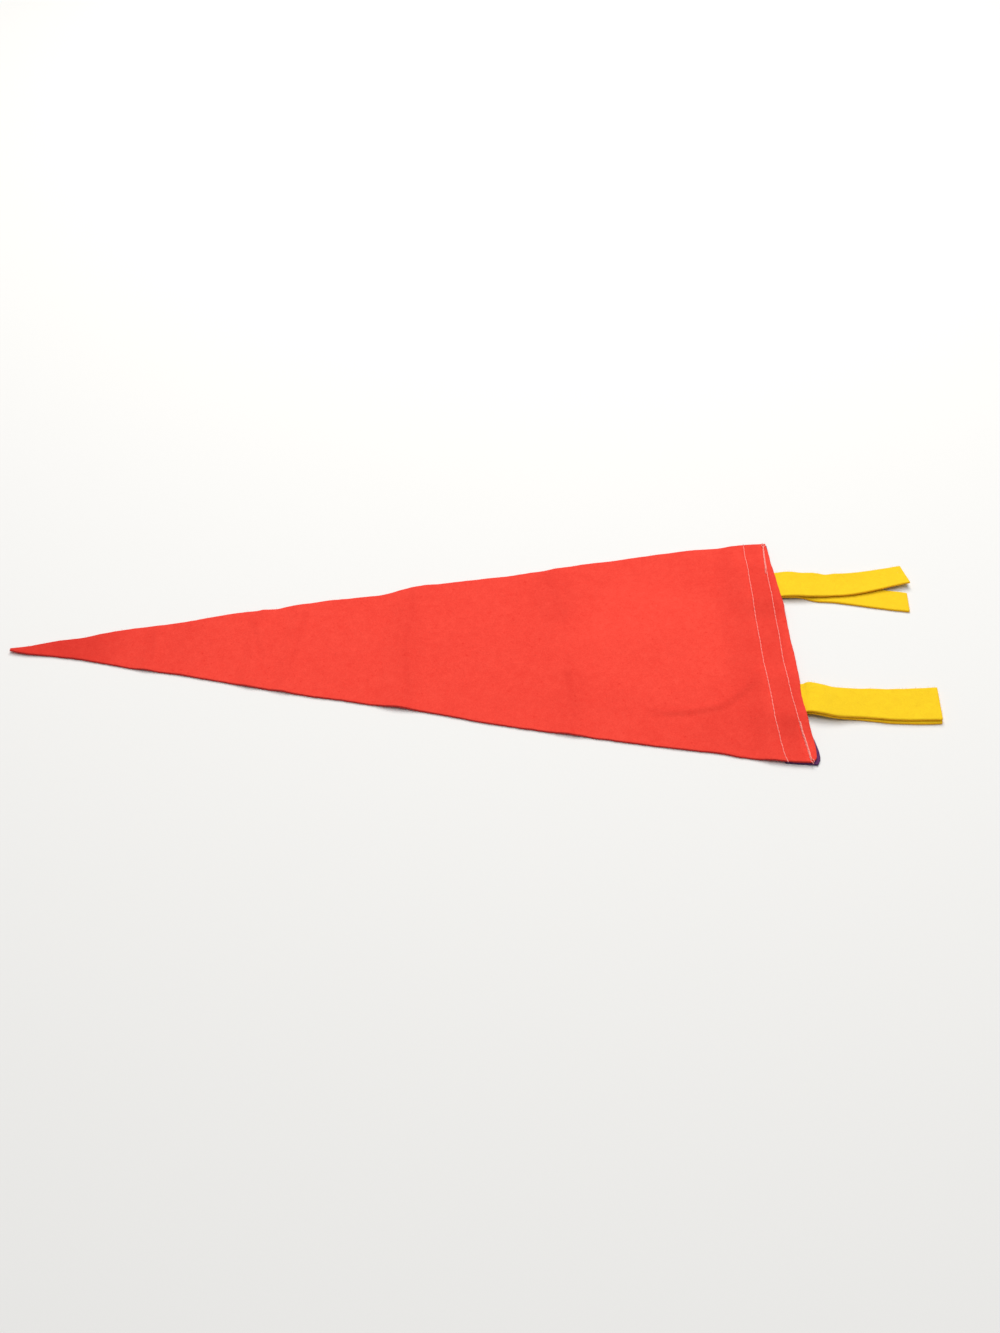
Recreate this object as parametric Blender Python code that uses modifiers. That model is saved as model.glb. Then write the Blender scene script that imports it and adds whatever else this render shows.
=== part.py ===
"""A felt pennant that lies face down, its point towards -X: a red triangular field, a dark
heading strip under its wide edge, and two yellow ties sewn in between, each folded in half.

Metres, +Z up. X runs along the pennant and Y across it, with "far" on the +Y side and "near"
on the -Y side. The origin is the centre of the heading strip's underside, and Z = 0 is the
surface that the pennant lies on. Tables are in millimetres and degrees.
"""

import math
from collections import namedtuple

import bmesh
import bpy
from mathutils import Vector
from mathutils.geometry import delaunay_2d_cdt

MM = 0.001

# Cloth
FELT = 1.2  # thickness of every piece
GAP = 0.3  # clearance between two layers
LAYER = FELT + GAP
CLEAR = 2.0  # how far past a covered edge the field stays up

# Field: the cut outline, from the point to the wide edge
Station = namedtuple("Station", "x near far")
FIELD_SIDES = [
    Station(-393.5, 1.9, 3.4),
    Station(-386.0, 0.2, 4.9),
    Station(-371.0, -1.7, 9.2),
    Station(-357.0, -4.1, 11.6),
    Station(-347.0, -6.3, 14.8),
    Station(-333.0, -9.9, 18.0),
    Station(-319.0, -12.8, 19.9),
    Station(-304.0, -15.5, 23.2),
    Station(-290.0, -18.8, 26.7),
    Station(-276.0, -22.3, 29.7),
    Station(-269.0, -24.2, 30.3),
    Station(-260.0, -26.0, 31.5),
    Station(-252.5, -27.7, 33.9),
    Station(-245.0, -29.4, 34.8),
    Station(-236.0, -31.5, 37.3),
    Station(-221.0, -34.2, 39.6),
    Station(-206.0, -37.3, 41.7),
    Station(-197.0, -39.1, 44.4),
    Station(-187.0, -40.8, 46.8),
    Station(-177.0, -43.0, 49.7),
    Station(-165.0, -46.0, 51.8),
    Station(-150.0, -49.9, 54.0),
    Station(-136.0, -52.8, 56.0),
    Station(-125.0, -55.2, 58.6),
    Station(-116.0, -57.0, 60.1),
    Station(-108.0, -58.4, 62.3),
    Station(-91.0, -61.7, 65.8),
    Station(-75.0, -64.6, 68.4),
    Station(-65.0, -66.4, 70.5),
    Station(-49.0, -69.1, 73.5),
    Station(-36.0, -71.3, 75.9),
    Station(-27.0, -73.6, 76.8),
    Station(-18.0, -75.3, 77.3),
    Station(-6.0, -77.4, 78.7),
    Station(5.0, -78.2, 79.5),
]
EdgePoint = namedtuple("EdgePoint", "y x")
WIDE_EDGE = [
    EdgePoint(-78.2, 5.8),
    EdgePoint(-76.3, 7.9),
    EdgePoint(-72.0, 8.7),
    EdgePoint(-66.0, 8.8),
    EdgePoint(-58.0, 8.1),
    EdgePoint(-50.0, 7.6),
    EdgePoint(-41.0, 7.1),
    EdgePoint(-33.0, 7.0),
    EdgePoint(-25.0, 7.8),
    EdgePoint(-8.0, 8.5),
    EdgePoint(6.0, 8.1),
    EdgePoint(18.0, 8.4),
    EdgePoint(27.0, 8.8),
    EdgePoint(35.0, 7.9),
    EdgePoint(43.0, 7.4),
    EdgePoint(53.0, 7.0),
    EdgePoint(63.0, 6.5),
    EdgePoint(71.0, 6.8),
    EdgePoint(79.5, 6.1),
]

# Field: soft ridges across it, and swells, above the surface it lies on
Crease = namedtuple("Crease", "near_x far_x near_lift far_lift half_width")
CREASES = [
    Crease(-322.0, -320.0, 0.7, 0.5, 8.0),
    Crease(-269.0, -266.0, 0.5, 0.6, 8.0),
    Crease(-251.0, -246.0, 0.6, 0.8, 8.0),
    Crease(-194.0, -187.0, 1.2, 1.6, 14.0),
    Crease(-109.0, -112.0, 0.8, 0.6, 12.0),
]
Swell = namedtuple("Swell", "x y half_x half_y lift")
SWELLS = [
    Swell(-396.0, 2.0, 26.0, 20.0, 0.9),
    Swell(-66.0, 12.0, 38.0, 44.0, 1.3),
]

# Heading strip: its rows run across it, turned by skew, the outer side's y less the inner's
HeadingRow = namedtuple("HeadingRow", "y inner outer skew")
HEADING_SIDES = [
    HeadingRow(-78.0, -6.8, 8.4, -1.4),
    HeadingRow(-75.0, -7.7, 10.0, -1.0),
    HeadingRow(-70.5, -8.4, 10.3, 0.0),
    HeadingRow(-66.0, -8.8, 9.7, 0.0),
    HeadingRow(-60.0, -9.2, 8.4, 0.0),
    HeadingRow(-50.0, -9.5, 7.2, 0.0),
    HeadingRow(-40.0, -9.5, 6.6, 0.0),
    HeadingRow(-5.0, -9.3, 7.6, 0.0),
    HeadingRow(25.0, -8.9, 7.4, 0.0),
    HeadingRow(45.0, -8.6, 6.2, 0.0),
    HeadingRow(60.0, -8.3, 6.3, 0.0),
    HeadingRow(72.0, -8.1, 7.1, 0.0),
    HeadingRow(79.1, -8.0, 7.0, 0.0),
]
HEADING_INNER = min(row.inner for row in HEADING_SIDES)
HEADING_RISE = 10.5  # length over which the field climbs onto the heading

# Ties: a tail runs out from the fold, swings from +X towards +Y, tilts its near edge up, and
# is cut square at its end but for the skew
FOLD_X = -1.0
FOLD_RADIUS = LAYER / 2
TIE_HALF = 9.5
LOWER_Z = LAYER + FELT / 2
UPPER_Z = LOWER_Z + LAYER
FLAT_Z = FELT / 2
TIE_RISE = 11.0  # length over which the field climbs onto a tie
TIE_SPREAD = 1.5  # a tail's swing under the field's edge
TailRow = namedtuple("TailRow", "run swing skew tilt lift half_width")
Tie = namedtuple("Tie", "name y upper lower")
TIES = [
    Tie(
        "tie_far",
        45.6,
        upper=[
            TailRow(0.0, 0.0, 0.0, 0.0, UPPER_Z, 9.3),
            TailRow(9.8, 0.0, 0.0, 0.0, 3.62, 9.3),
            TailRow(17.0, -1.5, 0.0, 0.0, 3.6, 9.2),
            TailRow(24.0, -2.5, 0.0, 0.0, 3.1, 9.0),
            TailRow(31.0, -1.0, 0.0, 0.5, 2.7, 8.6),
            TailRow(38.0, 3.0, 0.0, 1.0, 2.4, 8.5),
            TailRow(46.0, 6.7, 0.0, 1.0, 2.3, 8.3),
            TailRow(54.0, 10.5, 0.0, 1.5, 2.3, 8.0),
            TailRow(62.0, 14.5, 0.0, 2.5, 2.35, 7.7),
            TailRow(70.0, 13.5, -1.0, 4.0, 2.4, 7.4),
            TailRow(79.8, 11.0, -1.5, 5.0, 2.6, 7.3),
        ],
        lower=[
            TailRow(0.0, 0.0, 0.0, 0.0, LOWER_Z, 9.3),
            TailRow(10.0, 0.0, 0.0, 0.0, LOWER_Z, 9.3),
            TailRow(17.0, -1.0, 0.0, 0.0, 1.6, 9.0),
            TailRow(21.0, -7.0, 0.0, 0.0, 1.1, 8.6),
            TailRow(25.5, -25.0, 0.0, 0.0, 0.75, 8.1),
            TailRow(29.5, -22.0, 0.0, 0.0, FLAT_Z, 7.9),
            TailRow(33.0, -5.0, 0.0, 0.0, FLAT_Z, 7.9),
            TailRow(38.0, -6.0, 0.0, 0.0, FLAT_Z, 7.9),
            TailRow(45.0, -11.0, 0.0, 0.0, FLAT_Z, 7.9),
            TailRow(55.0, -14.5, 0.0, 0.0, FLAT_Z, 7.8),
            TailRow(65.0, -12.5, 0.0, 0.0, FLAT_Z, 7.5),
            TailRow(78.4, -10.0, 4.2, 0.0, FLAT_Z, 7.3),
        ],
    ),
    Tie(
        "tie_near",
        -36.9,
        upper=[
            TailRow(0.0, 0.0, 0.0, 0.0, UPPER_Z, 9.7),
            TailRow(9.8, -8.5, 0.0, 0.0, 3.62, 9.7),
            TailRow(13.0, -12.5, 0.0, 0.0, 4.3, 9.7),
            TailRow(15.5, -13.0, 0.0, 0.0, 4.55, 9.8),
            TailRow(19.0, -11.0, 0.0, 0.0, 4.35, 9.8),
            TailRow(24.0, -4.0, 0.0, 0.0, 3.5, 9.8),
            TailRow(30.0, -0.6, 0.0, 0.0, 2.75, 9.7),
            TailRow(38.0, -2.4, 0.0, 0.0, 2.15, 9.7),
            TailRow(46.0, -5.0, 0.0, 0.0, LOWER_Z, 10.0),
            TailRow(54.0, -2.5, 0.0, 0.0, LOWER_Z, 10.3),
            TailRow(62.0, 1.0, 0.0, 0.0, LOWER_Z, 10.5),
            TailRow(76.3, 1.5, -7.1, 0.0, LOWER_Z, 10.8),
        ],
        lower=[
            TailRow(0.0, 0.0, 0.0, 0.0, LOWER_Z, 9.7),
            TailRow(9.8, -8.5, 0.0, 0.0, 2.12, 9.7),
            TailRow(13.0, -12.5, 0.0, 0.0, 2.75, 9.7),
            TailRow(15.5, -13.0, 0.0, 0.0, 3.0, 9.8),
            TailRow(19.0, -11.0, 0.0, 0.0, 2.8, 9.8),
            TailRow(24.0, -5.0, 0.0, 0.0, 1.95, 9.8),
            TailRow(30.0, -1.8, 0.0, 0.0, 1.2, 9.7),
            TailRow(38.0, -3.8, 0.0, 0.0, 0.65, 9.8),
            TailRow(46.0, -6.4, 0.0, 0.0, FLAT_Z, 10.2),
            TailRow(54.0, -3.4, 0.0, 0.0, FLAT_Z, 10.6),
            TailRow(62.0, 0.5, 0.0, 0.0, FLAT_Z, 10.8),
            TailRow(76.5, 1.0, -7.6, 0.0, FLAT_Z, 11.0),
        ],
    ),
]

# Mesh
FREE_PITCH = (5.0, 7.0)  # along X and Y, where the field lies free
SEAM_PITCH = (2.9, 3.1)  # the same over the heading and the ties
SEAM_START = -26.0
HEADING_PITCH = 4.0
TAIL_PITCH = 3.4
TAIL_SPANS = 4  # panels across a tail
FOLD_STEPS = 6
EDGE_MARGIN = 0.45  # least distance from an inner point to the outline, in pitches

# Colours, linear
RED = (0.78, 0.055, 0.03)
PLUM = (0.055, 0.028, 0.085)
YELLOW = (0.93, 0.60, 0.012)
FELT_ROUGHNESS = 0.95


def smooth_step(value, start, end):
    """0 at start, 1 at end, level at both."""
    share = min(max((value - start) / (end - start), 0.0), 1.0)
    return share * share * (3.0 - 2.0 * share)


def bump(distance, half_width):
    """A soft ridge's cross-section: 1 on its line, 0 from half_width on."""
    return 1.0 - smooth_step(abs(distance), 0.0, half_width)


def read(rows, by, column, at):
    """A column of a table at a value of another, on a smooth curve through its rows."""
    keys = [getattr(row, by) for row in rows]
    values = [getattr(row, column) for row in rows]
    at = min(max(at, keys[0]), keys[-1])
    index = 0
    while index < len(keys) - 2 and at > keys[index + 1]:
        index += 1

    def slope(i):
        low, high = max(i - 1, 0), min(i + 1, len(keys) - 1)
        return (values[high] - values[low]) / (keys[high] - keys[low])

    span = keys[index + 1] - keys[index]
    share = (at - keys[index]) / span
    square, cube = share**2, share**3
    return (
        (2 * cube - 3 * square + 1) * values[index]
        + (cube - 2 * square + share) * span * slope(index)
        + (3 * square - 2 * cube) * values[index + 1]
        + (cube - square) * span * slope(index + 1)
    )


def steps(start, end, pitch):
    """Evenly spaced values from start to end, about a pitch apart, both included."""
    count = max(1, round((end - start) / pitch))
    return [start + (end - start) * index / count for index in range(count + 1)]


def side_near(x):
    return read(FIELD_SIDES, "x", "near", x)


def side_far(x):
    return read(FIELD_SIDES, "x", "far", x)


def wide_edge(y):
    return read(WIDE_EDGE, "y", "x", y)


def crease_height(x, y):
    """The tallest ridge at a point of the field."""
    tallest = 0.0
    for crease in CREASES:
        middle_x = (crease.near_x + crease.far_x) / 2
        near, far = side_near(middle_x), side_far(middle_x)
        share = min(max((y - near) / (far - near), 0.0), 1.0)
        line_x = crease.near_x + share * (crease.far_x - crease.near_x)
        lift = crease.near_lift + share * (crease.far_lift - crease.near_lift)
        tallest = max(tallest, lift * bump(x - line_x, crease.half_width))
    return tallest


def swell_height(x, y):
    total = 0.0
    for swell in SWELLS:
        distance = math.hypot((x - swell.x) / swell.half_x, (y - swell.y) / swell.half_y)
        total += swell.lift * bump(distance, 1.0)
    return total


def field_height(x, y):
    """Height of the field's underside: on the surface, over the heading, and over the ties."""
    onto_heading = HEADING_INNER - CLEAR
    height = LAYER * smooth_step(x, onto_heading - HEADING_RISE, onto_heading)
    onto_tie = FOLD_X - FOLD_RADIUS - FELT / 2 - CLEAR
    along = smooth_step(x, onto_tie - TIE_RISE, onto_tie)
    for tie in TIES:
        flat_half = TIE_HALF + TIE_SPREAD
        across = 1.0 - smooth_step(abs(y - tie.y), flat_half, flat_half + TIE_RISE)
        height += 2 * LAYER * along * across
    free = 1.0 - smooth_step(x, SEAM_START - HEADING_RISE, SEAM_START)
    return height + free * max(crease_height(x, y), swell_height(x, y))


def pitch_at(x):
    return SEAM_PITCH if x > SEAM_START else FREE_PITCH


def field_loop():
    """The field's outline, counter-clockwise: near side, wide edge, far side."""
    tip, corner = FIELD_SIDES[0].x, FIELD_SIDES[-1].x
    free = steps(tip, SEAM_START, FREE_PITCH[0])
    stations = free + steps(SEAM_START, corner, SEAM_PITCH[0])[1:]
    near = [(x, side_near(x)) for x in stations]
    edge_ys = steps(WIDE_EDGE[0].y, WIDE_EDGE[-1].y, SEAM_PITCH[1])
    edge = [(wide_edge(y), y) for y in edge_ys]
    far = [(x, side_far(x)) for x in reversed(stations)]
    return near[:-1] + edge + far[1:]


def field_inner():
    """Staggered points inside the outline, closer together over the heading."""
    points = []
    x = FIELD_SIDES[0].x
    row = 0
    while True:
        pitch_x, pitch_y = pitch_at(x)
        x += pitch_x
        if x > max(point.x for point in WIDE_EDGE):
            return points
        margin = EDGE_MARGIN * pitch_y
        y = side_near(x) + margin + (row % 2) * pitch_y / 2
        while y < side_far(x) - margin:
            if x < wide_edge(y) - EDGE_MARGIN * pitch_x:
                points.append((x, y))
            y += pitch_y
        row += 1


def heading_loop():
    outer, inner = [], []
    for y in steps(HEADING_SIDES[0].y, HEADING_SIDES[-1].y, HEADING_PITCH):
        skew = read(HEADING_SIDES, "y", "skew", y)
        outer.append((read(HEADING_SIDES, "y", "outer", y), y + skew / 2))
        inner.append((read(HEADING_SIDES, "y", "inner", y), y - skew / 2))
    return outer + inner[::-1]


def felt_material(name, colour):
    material = bpy.data.materials.new(name)
    material.use_nodes = True
    shader = material.node_tree.nodes["Principled BSDF"]
    shader.inputs["Base Color"].default_value = (*colour, 1.0)
    shader.inputs["Roughness"].default_value = FELT_ROUGHNESS
    shader.inputs["Metallic"].default_value = 0.0
    material.diffuse_color = (*colour, 1.0)
    return material


def add_solid(name, surface, colour, offset):
    """An object of a bmesh surface in millimetres, given the felt's thickness."""
    bmesh.ops.scale(surface, vec=Vector((MM, MM, MM)), verts=surface.verts)
    mesh = bpy.data.meshes.new(name)
    surface.to_mesh(mesh)
    surface.free()
    solid = bpy.data.objects.new(name, mesh)
    mesh.materials.append(felt_material(name + "_felt", colour))
    bpy.data.collections["felt_pennant"].objects.link(solid)
    wall = solid.modifiers.new("felt", "SOLIDIFY")
    wall.thickness = FELT * MM
    wall.offset = offset
    wall.use_even_offset = True
    return solid


def add_sheet(name, loop, inner, height, colour):
    """A cut sheet from its outline and inner points, with its underside at height(x, y)."""
    flat = [Vector(point) for point in loop + inner]
    points, _, triangles, *_ = delaunay_2d_cdt(flat, [], [list(range(len(loop)))], 1, 1e-4)
    surface = bmesh.new()
    corners = [surface.verts.new((p.x, p.y, height(p.x, p.y))) for p in points]
    for triangle in triangles:
        surface.faces.new([corners[index] for index in triangle])
    surface.normal_update()
    bmesh.ops.reverse_faces(surface, faces=[f for f in surface.faces if f.normal.z < 0])
    return add_solid(name, surface, colour, offset=1.0)


def tail_sections(tie, rows):
    """(centre, across, half width) of each cross-section of a tail, from the fold outwards."""
    runs = steps(rows[0].run, rows[-1].run, TAIL_PITCH)
    x, y = FOLD_X, tie.y
    sections = []
    for index, run in enumerate(runs):
        swing = math.radians(read(rows, "run", "swing", run))
        tilt = math.radians(read(rows, "run", "tilt", run))
        if index:
            x += (run - runs[index - 1]) * math.cos(swing)
            y += (run - runs[index - 1]) * math.sin(swing)
        turn = swing + math.radians(read(rows, "run", "skew", run))
        level = Vector((-math.sin(turn), math.cos(turn), 0.0))
        across = level * math.cos(tilt) + Vector((0.0, 0.0, -math.sin(tilt)))
        centre = Vector((x, y, max(read(rows, "run", "lift", run), FLAT_Z)))
        sections.append((centre, across, read(rows, "run", "half_width", run)))
    return sections


def fold_sections(tie):
    """The bend that joins the lower tail to the upper one, without its two ends."""
    sections = []
    for step in range(1, FOLD_STEPS):
        angle = math.pi * (step / FOLD_STEPS - 0.5)
        reach = FOLD_RADIUS * math.cos(angle)
        height = (LOWER_Z + UPPER_Z) / 2 + FOLD_RADIUS * math.sin(angle)
        centre = Vector((FOLD_X - reach, tie.y, height))
        sections.append((centre, Vector((0.0, 1.0, 0.0)), tie.upper[0].half_width))
    return sections


def add_tie(tie):
    """One felt strip: in along the lower tail, round the fold, and out along the upper tail."""
    sections = list(reversed(tail_sections(tie, tie.lower)))
    sections += fold_sections(tie) + tail_sections(tie, tie.upper)
    surface = bmesh.new()
    last = None
    for centre, across, half_width in sections:
        shares = [2.0 * span / TAIL_SPANS - 1.0 for span in range(TAIL_SPANS + 1)]
        row = [surface.verts.new(centre + across * half_width * share) for share in shares]
        if last:
            for i in range(TAIL_SPANS):
                surface.faces.new((last[i], row[i], row[i + 1], last[i + 1]))
        last = row
    return add_solid(tie.name, surface, YELLOW, offset=0.0)


def main():
    for old in list(bpy.data.objects):
        bpy.data.objects.remove(old, do_unlink=True)
    pennant = bpy.data.collections.new("felt_pennant")
    bpy.context.scene.collection.children.link(pennant)
    add_sheet("heading", heading_loop(), [], lambda x, y: 0.0, PLUM)
    for tie in TIES:
        add_tie(tie)
    add_sheet("field", field_loop(), field_inner(), field_height, RED)


if __name__ == "__main__":
    main()
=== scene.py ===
"""A felt pennant that lies face down, its point towards -X: a red field, a dark heading strip
under its wide edge, and two yellow ties sewn in between, each folded in half.

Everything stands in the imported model's own frame, +Z up. X runs along the pennant and Y
across it, with "far" on the +Y side and "near" on the -Y side. Sizes in the tables are in
millimetres and degrees; only what Blender is handed is in metres.
"""

import logging
import math
from dataclasses import dataclass
from enum import Enum
from typing import Callable, NamedTuple, Optional, Sequence, TypeVar

import bpy
import numpy as np
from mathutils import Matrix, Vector
from mathutils.geometry import delaunay_2d_cdt


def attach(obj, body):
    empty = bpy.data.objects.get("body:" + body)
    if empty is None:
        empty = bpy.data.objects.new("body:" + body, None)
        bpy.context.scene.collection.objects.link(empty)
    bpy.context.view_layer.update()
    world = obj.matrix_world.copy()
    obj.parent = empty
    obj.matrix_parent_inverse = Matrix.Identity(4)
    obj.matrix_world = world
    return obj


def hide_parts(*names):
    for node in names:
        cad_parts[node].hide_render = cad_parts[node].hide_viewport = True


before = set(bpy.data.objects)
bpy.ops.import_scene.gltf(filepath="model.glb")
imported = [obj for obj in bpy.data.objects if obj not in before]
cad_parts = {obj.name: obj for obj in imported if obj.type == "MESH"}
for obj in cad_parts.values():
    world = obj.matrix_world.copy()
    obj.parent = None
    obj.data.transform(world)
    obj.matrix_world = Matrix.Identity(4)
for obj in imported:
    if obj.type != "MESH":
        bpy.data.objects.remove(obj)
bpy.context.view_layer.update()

LOG = logging.getLogger("felt_pennant")

MM = 0.001
FELT = 1.2  # thickness of every piece of felt
PRESSED = 0.85  # thickness of a tie where the seams press it
SEWN_GAP = 0.12  # clearance between layers that the seams hold together
SEWN_LAYER = PRESSED + SEWN_GAP
LOWER_SEWN = FELT + SEWN_GAP + PRESSED / 2  # middle of a tie's lower layer under the seams
UPPER_SEWN = LOWER_SEWN + SEWN_LAYER

Colour = tuple[float, float, float]
Place = tuple[float, float, float]
Height = Callable[[np.ndarray, np.ndarray], np.ndarray]
Row = TypeVar("Row", bound=tuple)


# ---------------------------------------------------------------- names of choices


class Slot(Enum):
    """The pennant's material slots."""

    RED_FELT = "red_felt"
    PLUM_FELT = "plum_felt"
    YELLOW_FELT = "yellow_felt"
    PINK_THREAD = "pink_thread"


class Held(Enum):
    """How a sheet of felt is held."""

    LAID = "laid"
    FOLDED = "folded"


class Face(Enum):
    """The two faces of the sewn pennant that stitches show on, up or down."""

    SHOWING = 1
    UNDERNEATH = -1


# ---------------------------------------------------------------- tables and their rows


def table(kind: type[Row], *rows: tuple) -> tuple[Row, ...]:
    """A table's rows, each made from its own columns' values."""
    return tuple(kind(*row) for row in rows)


class Station(NamedTuple):
    """The field's two sides at one place along it."""

    x: float
    near: float
    far: float


class EdgePoint(NamedTuple):
    """A point of a line that runs across the pennant."""

    y: float
    x: float


class Crease(NamedTuple):
    """A soft ridge across the whole field."""

    near_x: float
    far_x: float
    near_lift: float
    far_lift: float
    half_width: float


class Swell(NamedTuple):
    """A wide, low rise of the field."""

    x: float
    y: float
    half_x: float
    half_y: float
    lift: float


class FineCrease(NamedTuple):
    """A thin pressed line in the felt's upper face: a ridge, or a trough if lift is negative;
    painted shade darkens it.
    """

    path: tuple[tuple[float, float], ...]
    lift: float
    half_width: float
    wear: float


class PaintedShadingPatch(NamedTuple):
    """A soft patch of painted light or shade, where the field is lighter or darker than the rest,
    as a share.
    """

    x: float
    y: float
    half_x: float
    half_y: float
    wear: float


class HeadingRow(NamedTuple):
    """A row across the heading strip, turned by skew, its outer end's y less its inner end's."""

    y: float
    inner: float
    outer: float
    skew: float


class TailRow(NamedTuple):
    """A cross-section of a tie's tail, run millimetres out from its fold."""

    run: float
    swing: float
    skew: float
    tilt: float
    lift: float
    half_width: float


class EdgeWave(NamedTuple):
    """How far a tail's two long edges stand up from its middle."""

    run: float
    far: float
    near: float


class RimStep(NamedTuple):
    """A ring of a cut edge: how far in it lies, and as shares how deep and how much of a cut, which
    is painted in shade.
    """

    inset: float
    depth: float
    cut: float


class EndStep(NamedTuple):
    """A ring of a tie's cut end: how far in it lies, its shares of thickness and width, and how
    much of a cut, painted in shade.
    """

    inset: float
    thick: float
    wide: float
    cut: float


class Section(NamedTuple):
    """A cross-section of a tie."""

    centre: np.ndarray
    across: np.ndarray
    half_width: float
    thickness: float
    far_lift: float
    near_lift: float


class ThreadPoint(NamedTuple):
    """A point of a loose thread, its rise measured from the red field's upper face."""

    x: float
    y: float
    rise: float


class Softbox(NamedTuple):
    """A square soft light that faces the pennant: its place and size in metres, and its watts."""

    name: str
    place: Place
    size: float
    power: float
    colour: Colour


class Pattern(NamedTuple):
    """A noise: patterns to a millimetre, how much finer detail it has, and which one it is."""

    scale: float
    detail: float
    turn: int


# ---------------------------------------------------------------- curves and noise


def smooth_step(value: np.ndarray, start: float, end: float) -> np.ndarray:
    """0 at start, 1 at end, level at both."""
    share = np.clip((np.asarray(value, float) - start) / (end - start), 0.0, 1.0)
    return share * share * (3.0 - 2.0 * share)


def bump(distance: np.ndarray, half_width: float) -> np.ndarray:
    """A soft ridge's cross-section: 1 on its line, 0 from half_width on."""
    return 1.0 - smooth_step(np.abs(distance), 0.0, half_width)


def steps(start: float, end: float, pitch: float) -> np.ndarray:
    """Evenly spaced values from start to end, about a pitch apart, both included."""
    return np.linspace(start, end, max(1, round(abs(end - start) / pitch)) + 1)


def unit(rows: np.ndarray) -> np.ndarray:
    """Each row of an array as a direction, of length 1."""
    return rows / np.linalg.norm(rows, axis=1, keepdims=True)


def directions(path: np.ndarray) -> np.ndarray:
    """The direction of a path at each of its points."""
    return unit(np.gradient(path, axis=0))


def runs_along(path: np.ndarray) -> np.ndarray:
    """How far along a path each of its points lies."""
    return np.concatenate([[0.0], np.cumsum(np.linalg.norm(np.diff(path, axis=0), axis=1))])


def smooth_curve(
    keys: Sequence[float], values: Sequence[float], place: np.ndarray
) -> np.ndarray:
    """A smooth curve through given values, held level past its ends.

    Args:
        keys: where the given values stand, in rising order.
        values: the curve's value at each key.
        place: where the curve is read.

    Returns:
        The curve's value at each place.
    """
    keys, values = np.array(keys, float), np.array(values, float)
    count = len(keys)
    low = np.maximum(np.arange(count) - 1, 0)
    high = np.minimum(np.arange(count) + 1, count - 1)
    slopes = (values[high] - values[low]) / (keys[high] - keys[low])
    place = np.clip(place, keys[0], keys[-1])
    i = np.clip(np.searchsorted(keys, place, side="left") - 1, 0, count - 2)
    span = keys[i + 1] - keys[i]
    share = (place - keys[i]) / span
    square, cube = share**2, share**3
    return (
        (2 * cube - 3 * square + 1) * values[i]
        + (cube - 2 * square + share) * span * slopes[i]
        + (3 * square - 2 * cube) * values[i + 1]
        + (cube - square) * span * slopes[i + 1]
    )


def column_at(rows: Sequence[tuple], by: str, column: str, place: np.ndarray) -> np.ndarray:
    """One column of a table against another, as a smooth curve, at each place."""
    return smooth_curve([getattr(r, by) for r in rows], [getattr(r, column) for r in rows], place)


HILL_CELLS = 97  # a pattern of hills repeats after this many pitches


class Hills(NamedTuple):
    """Smooth random unevenness: how high, how far from hill to hill, and the pattern's seed."""

    height: float
    pitch: float
    seed: int

    def at(self, x: np.ndarray, y: np.ndarray, turn: int = 0) -> np.ndarray:
        """Heights between -height and height.

        Args:
            x: places along the pennant, or along a strip.
            y: places across it.
            turn: added to the seed, for another pattern of the same kind.

        Returns:
            A height for each place.
        """
        chance = np.random.default_rng(self.seed + turn)
        corners = chance.uniform(-1.0, 1.0, (HILL_CELLS, HILL_CELLS))
        u, v = np.asarray(x, float) / self.pitch, np.asarray(y, float) / self.pitch
        i, j = np.floor(u).astype(int), np.floor(v).astype(int)
        a, b = u - i, v - j
        a, b = a * a * (3 - 2 * a), b * b * (3 - 2 * b)
        i0, i1 = i % HILL_CELLS, (i + 1) % HILL_CELLS
        j0, j1 = j % HILL_CELLS, (j + 1) % HILL_CELLS
        near = corners[i0, j0] * (1 - a) + corners[i1, j0] * a
        far = corners[i0, j1] * (1 - a) + corners[i1, j1] * a
        return self.height * (near * (1 - b) + far * b)


def path_distance(
    x: np.ndarray, y: np.ndarray, path: Sequence[tuple[float, float]]
) -> tuple[np.ndarray, np.ndarray]:
    """How far places are from a line of straight runs.

    Args:
        x: places along the pennant.
        y: places across it.
        path: the line's points.

    Returns:
        The least distance of each place, and the share of the line's runs passed there.
    """
    best, along = np.full(np.shape(x), np.inf), np.zeros(np.shape(x))
    for index, ((x0, y0), (x1, y1)) in enumerate(zip(path, path[1:])):
        run_x, run_y = x1 - x0, y1 - y0
        share = ((x - x0) * run_x + (y - y0) * run_y) / (run_x**2 + run_y**2)
        share = np.clip(share, 0.0, 1.0)
        distance = np.hypot(x - x0 - share * run_x, y - y0 - share * run_y)
        closer = distance < best
        best = np.where(closer, distance, best)
        along = np.where(closer, (index + share) / (len(path) - 1), along)
    return best, along


# ---------------------------------------------------------------- node trees


def rgba(colour: Colour) -> tuple[float, ...]:
    """A colour with full alpha, as Blender's sockets take it."""
    return (*colour, 1.0)


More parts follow.
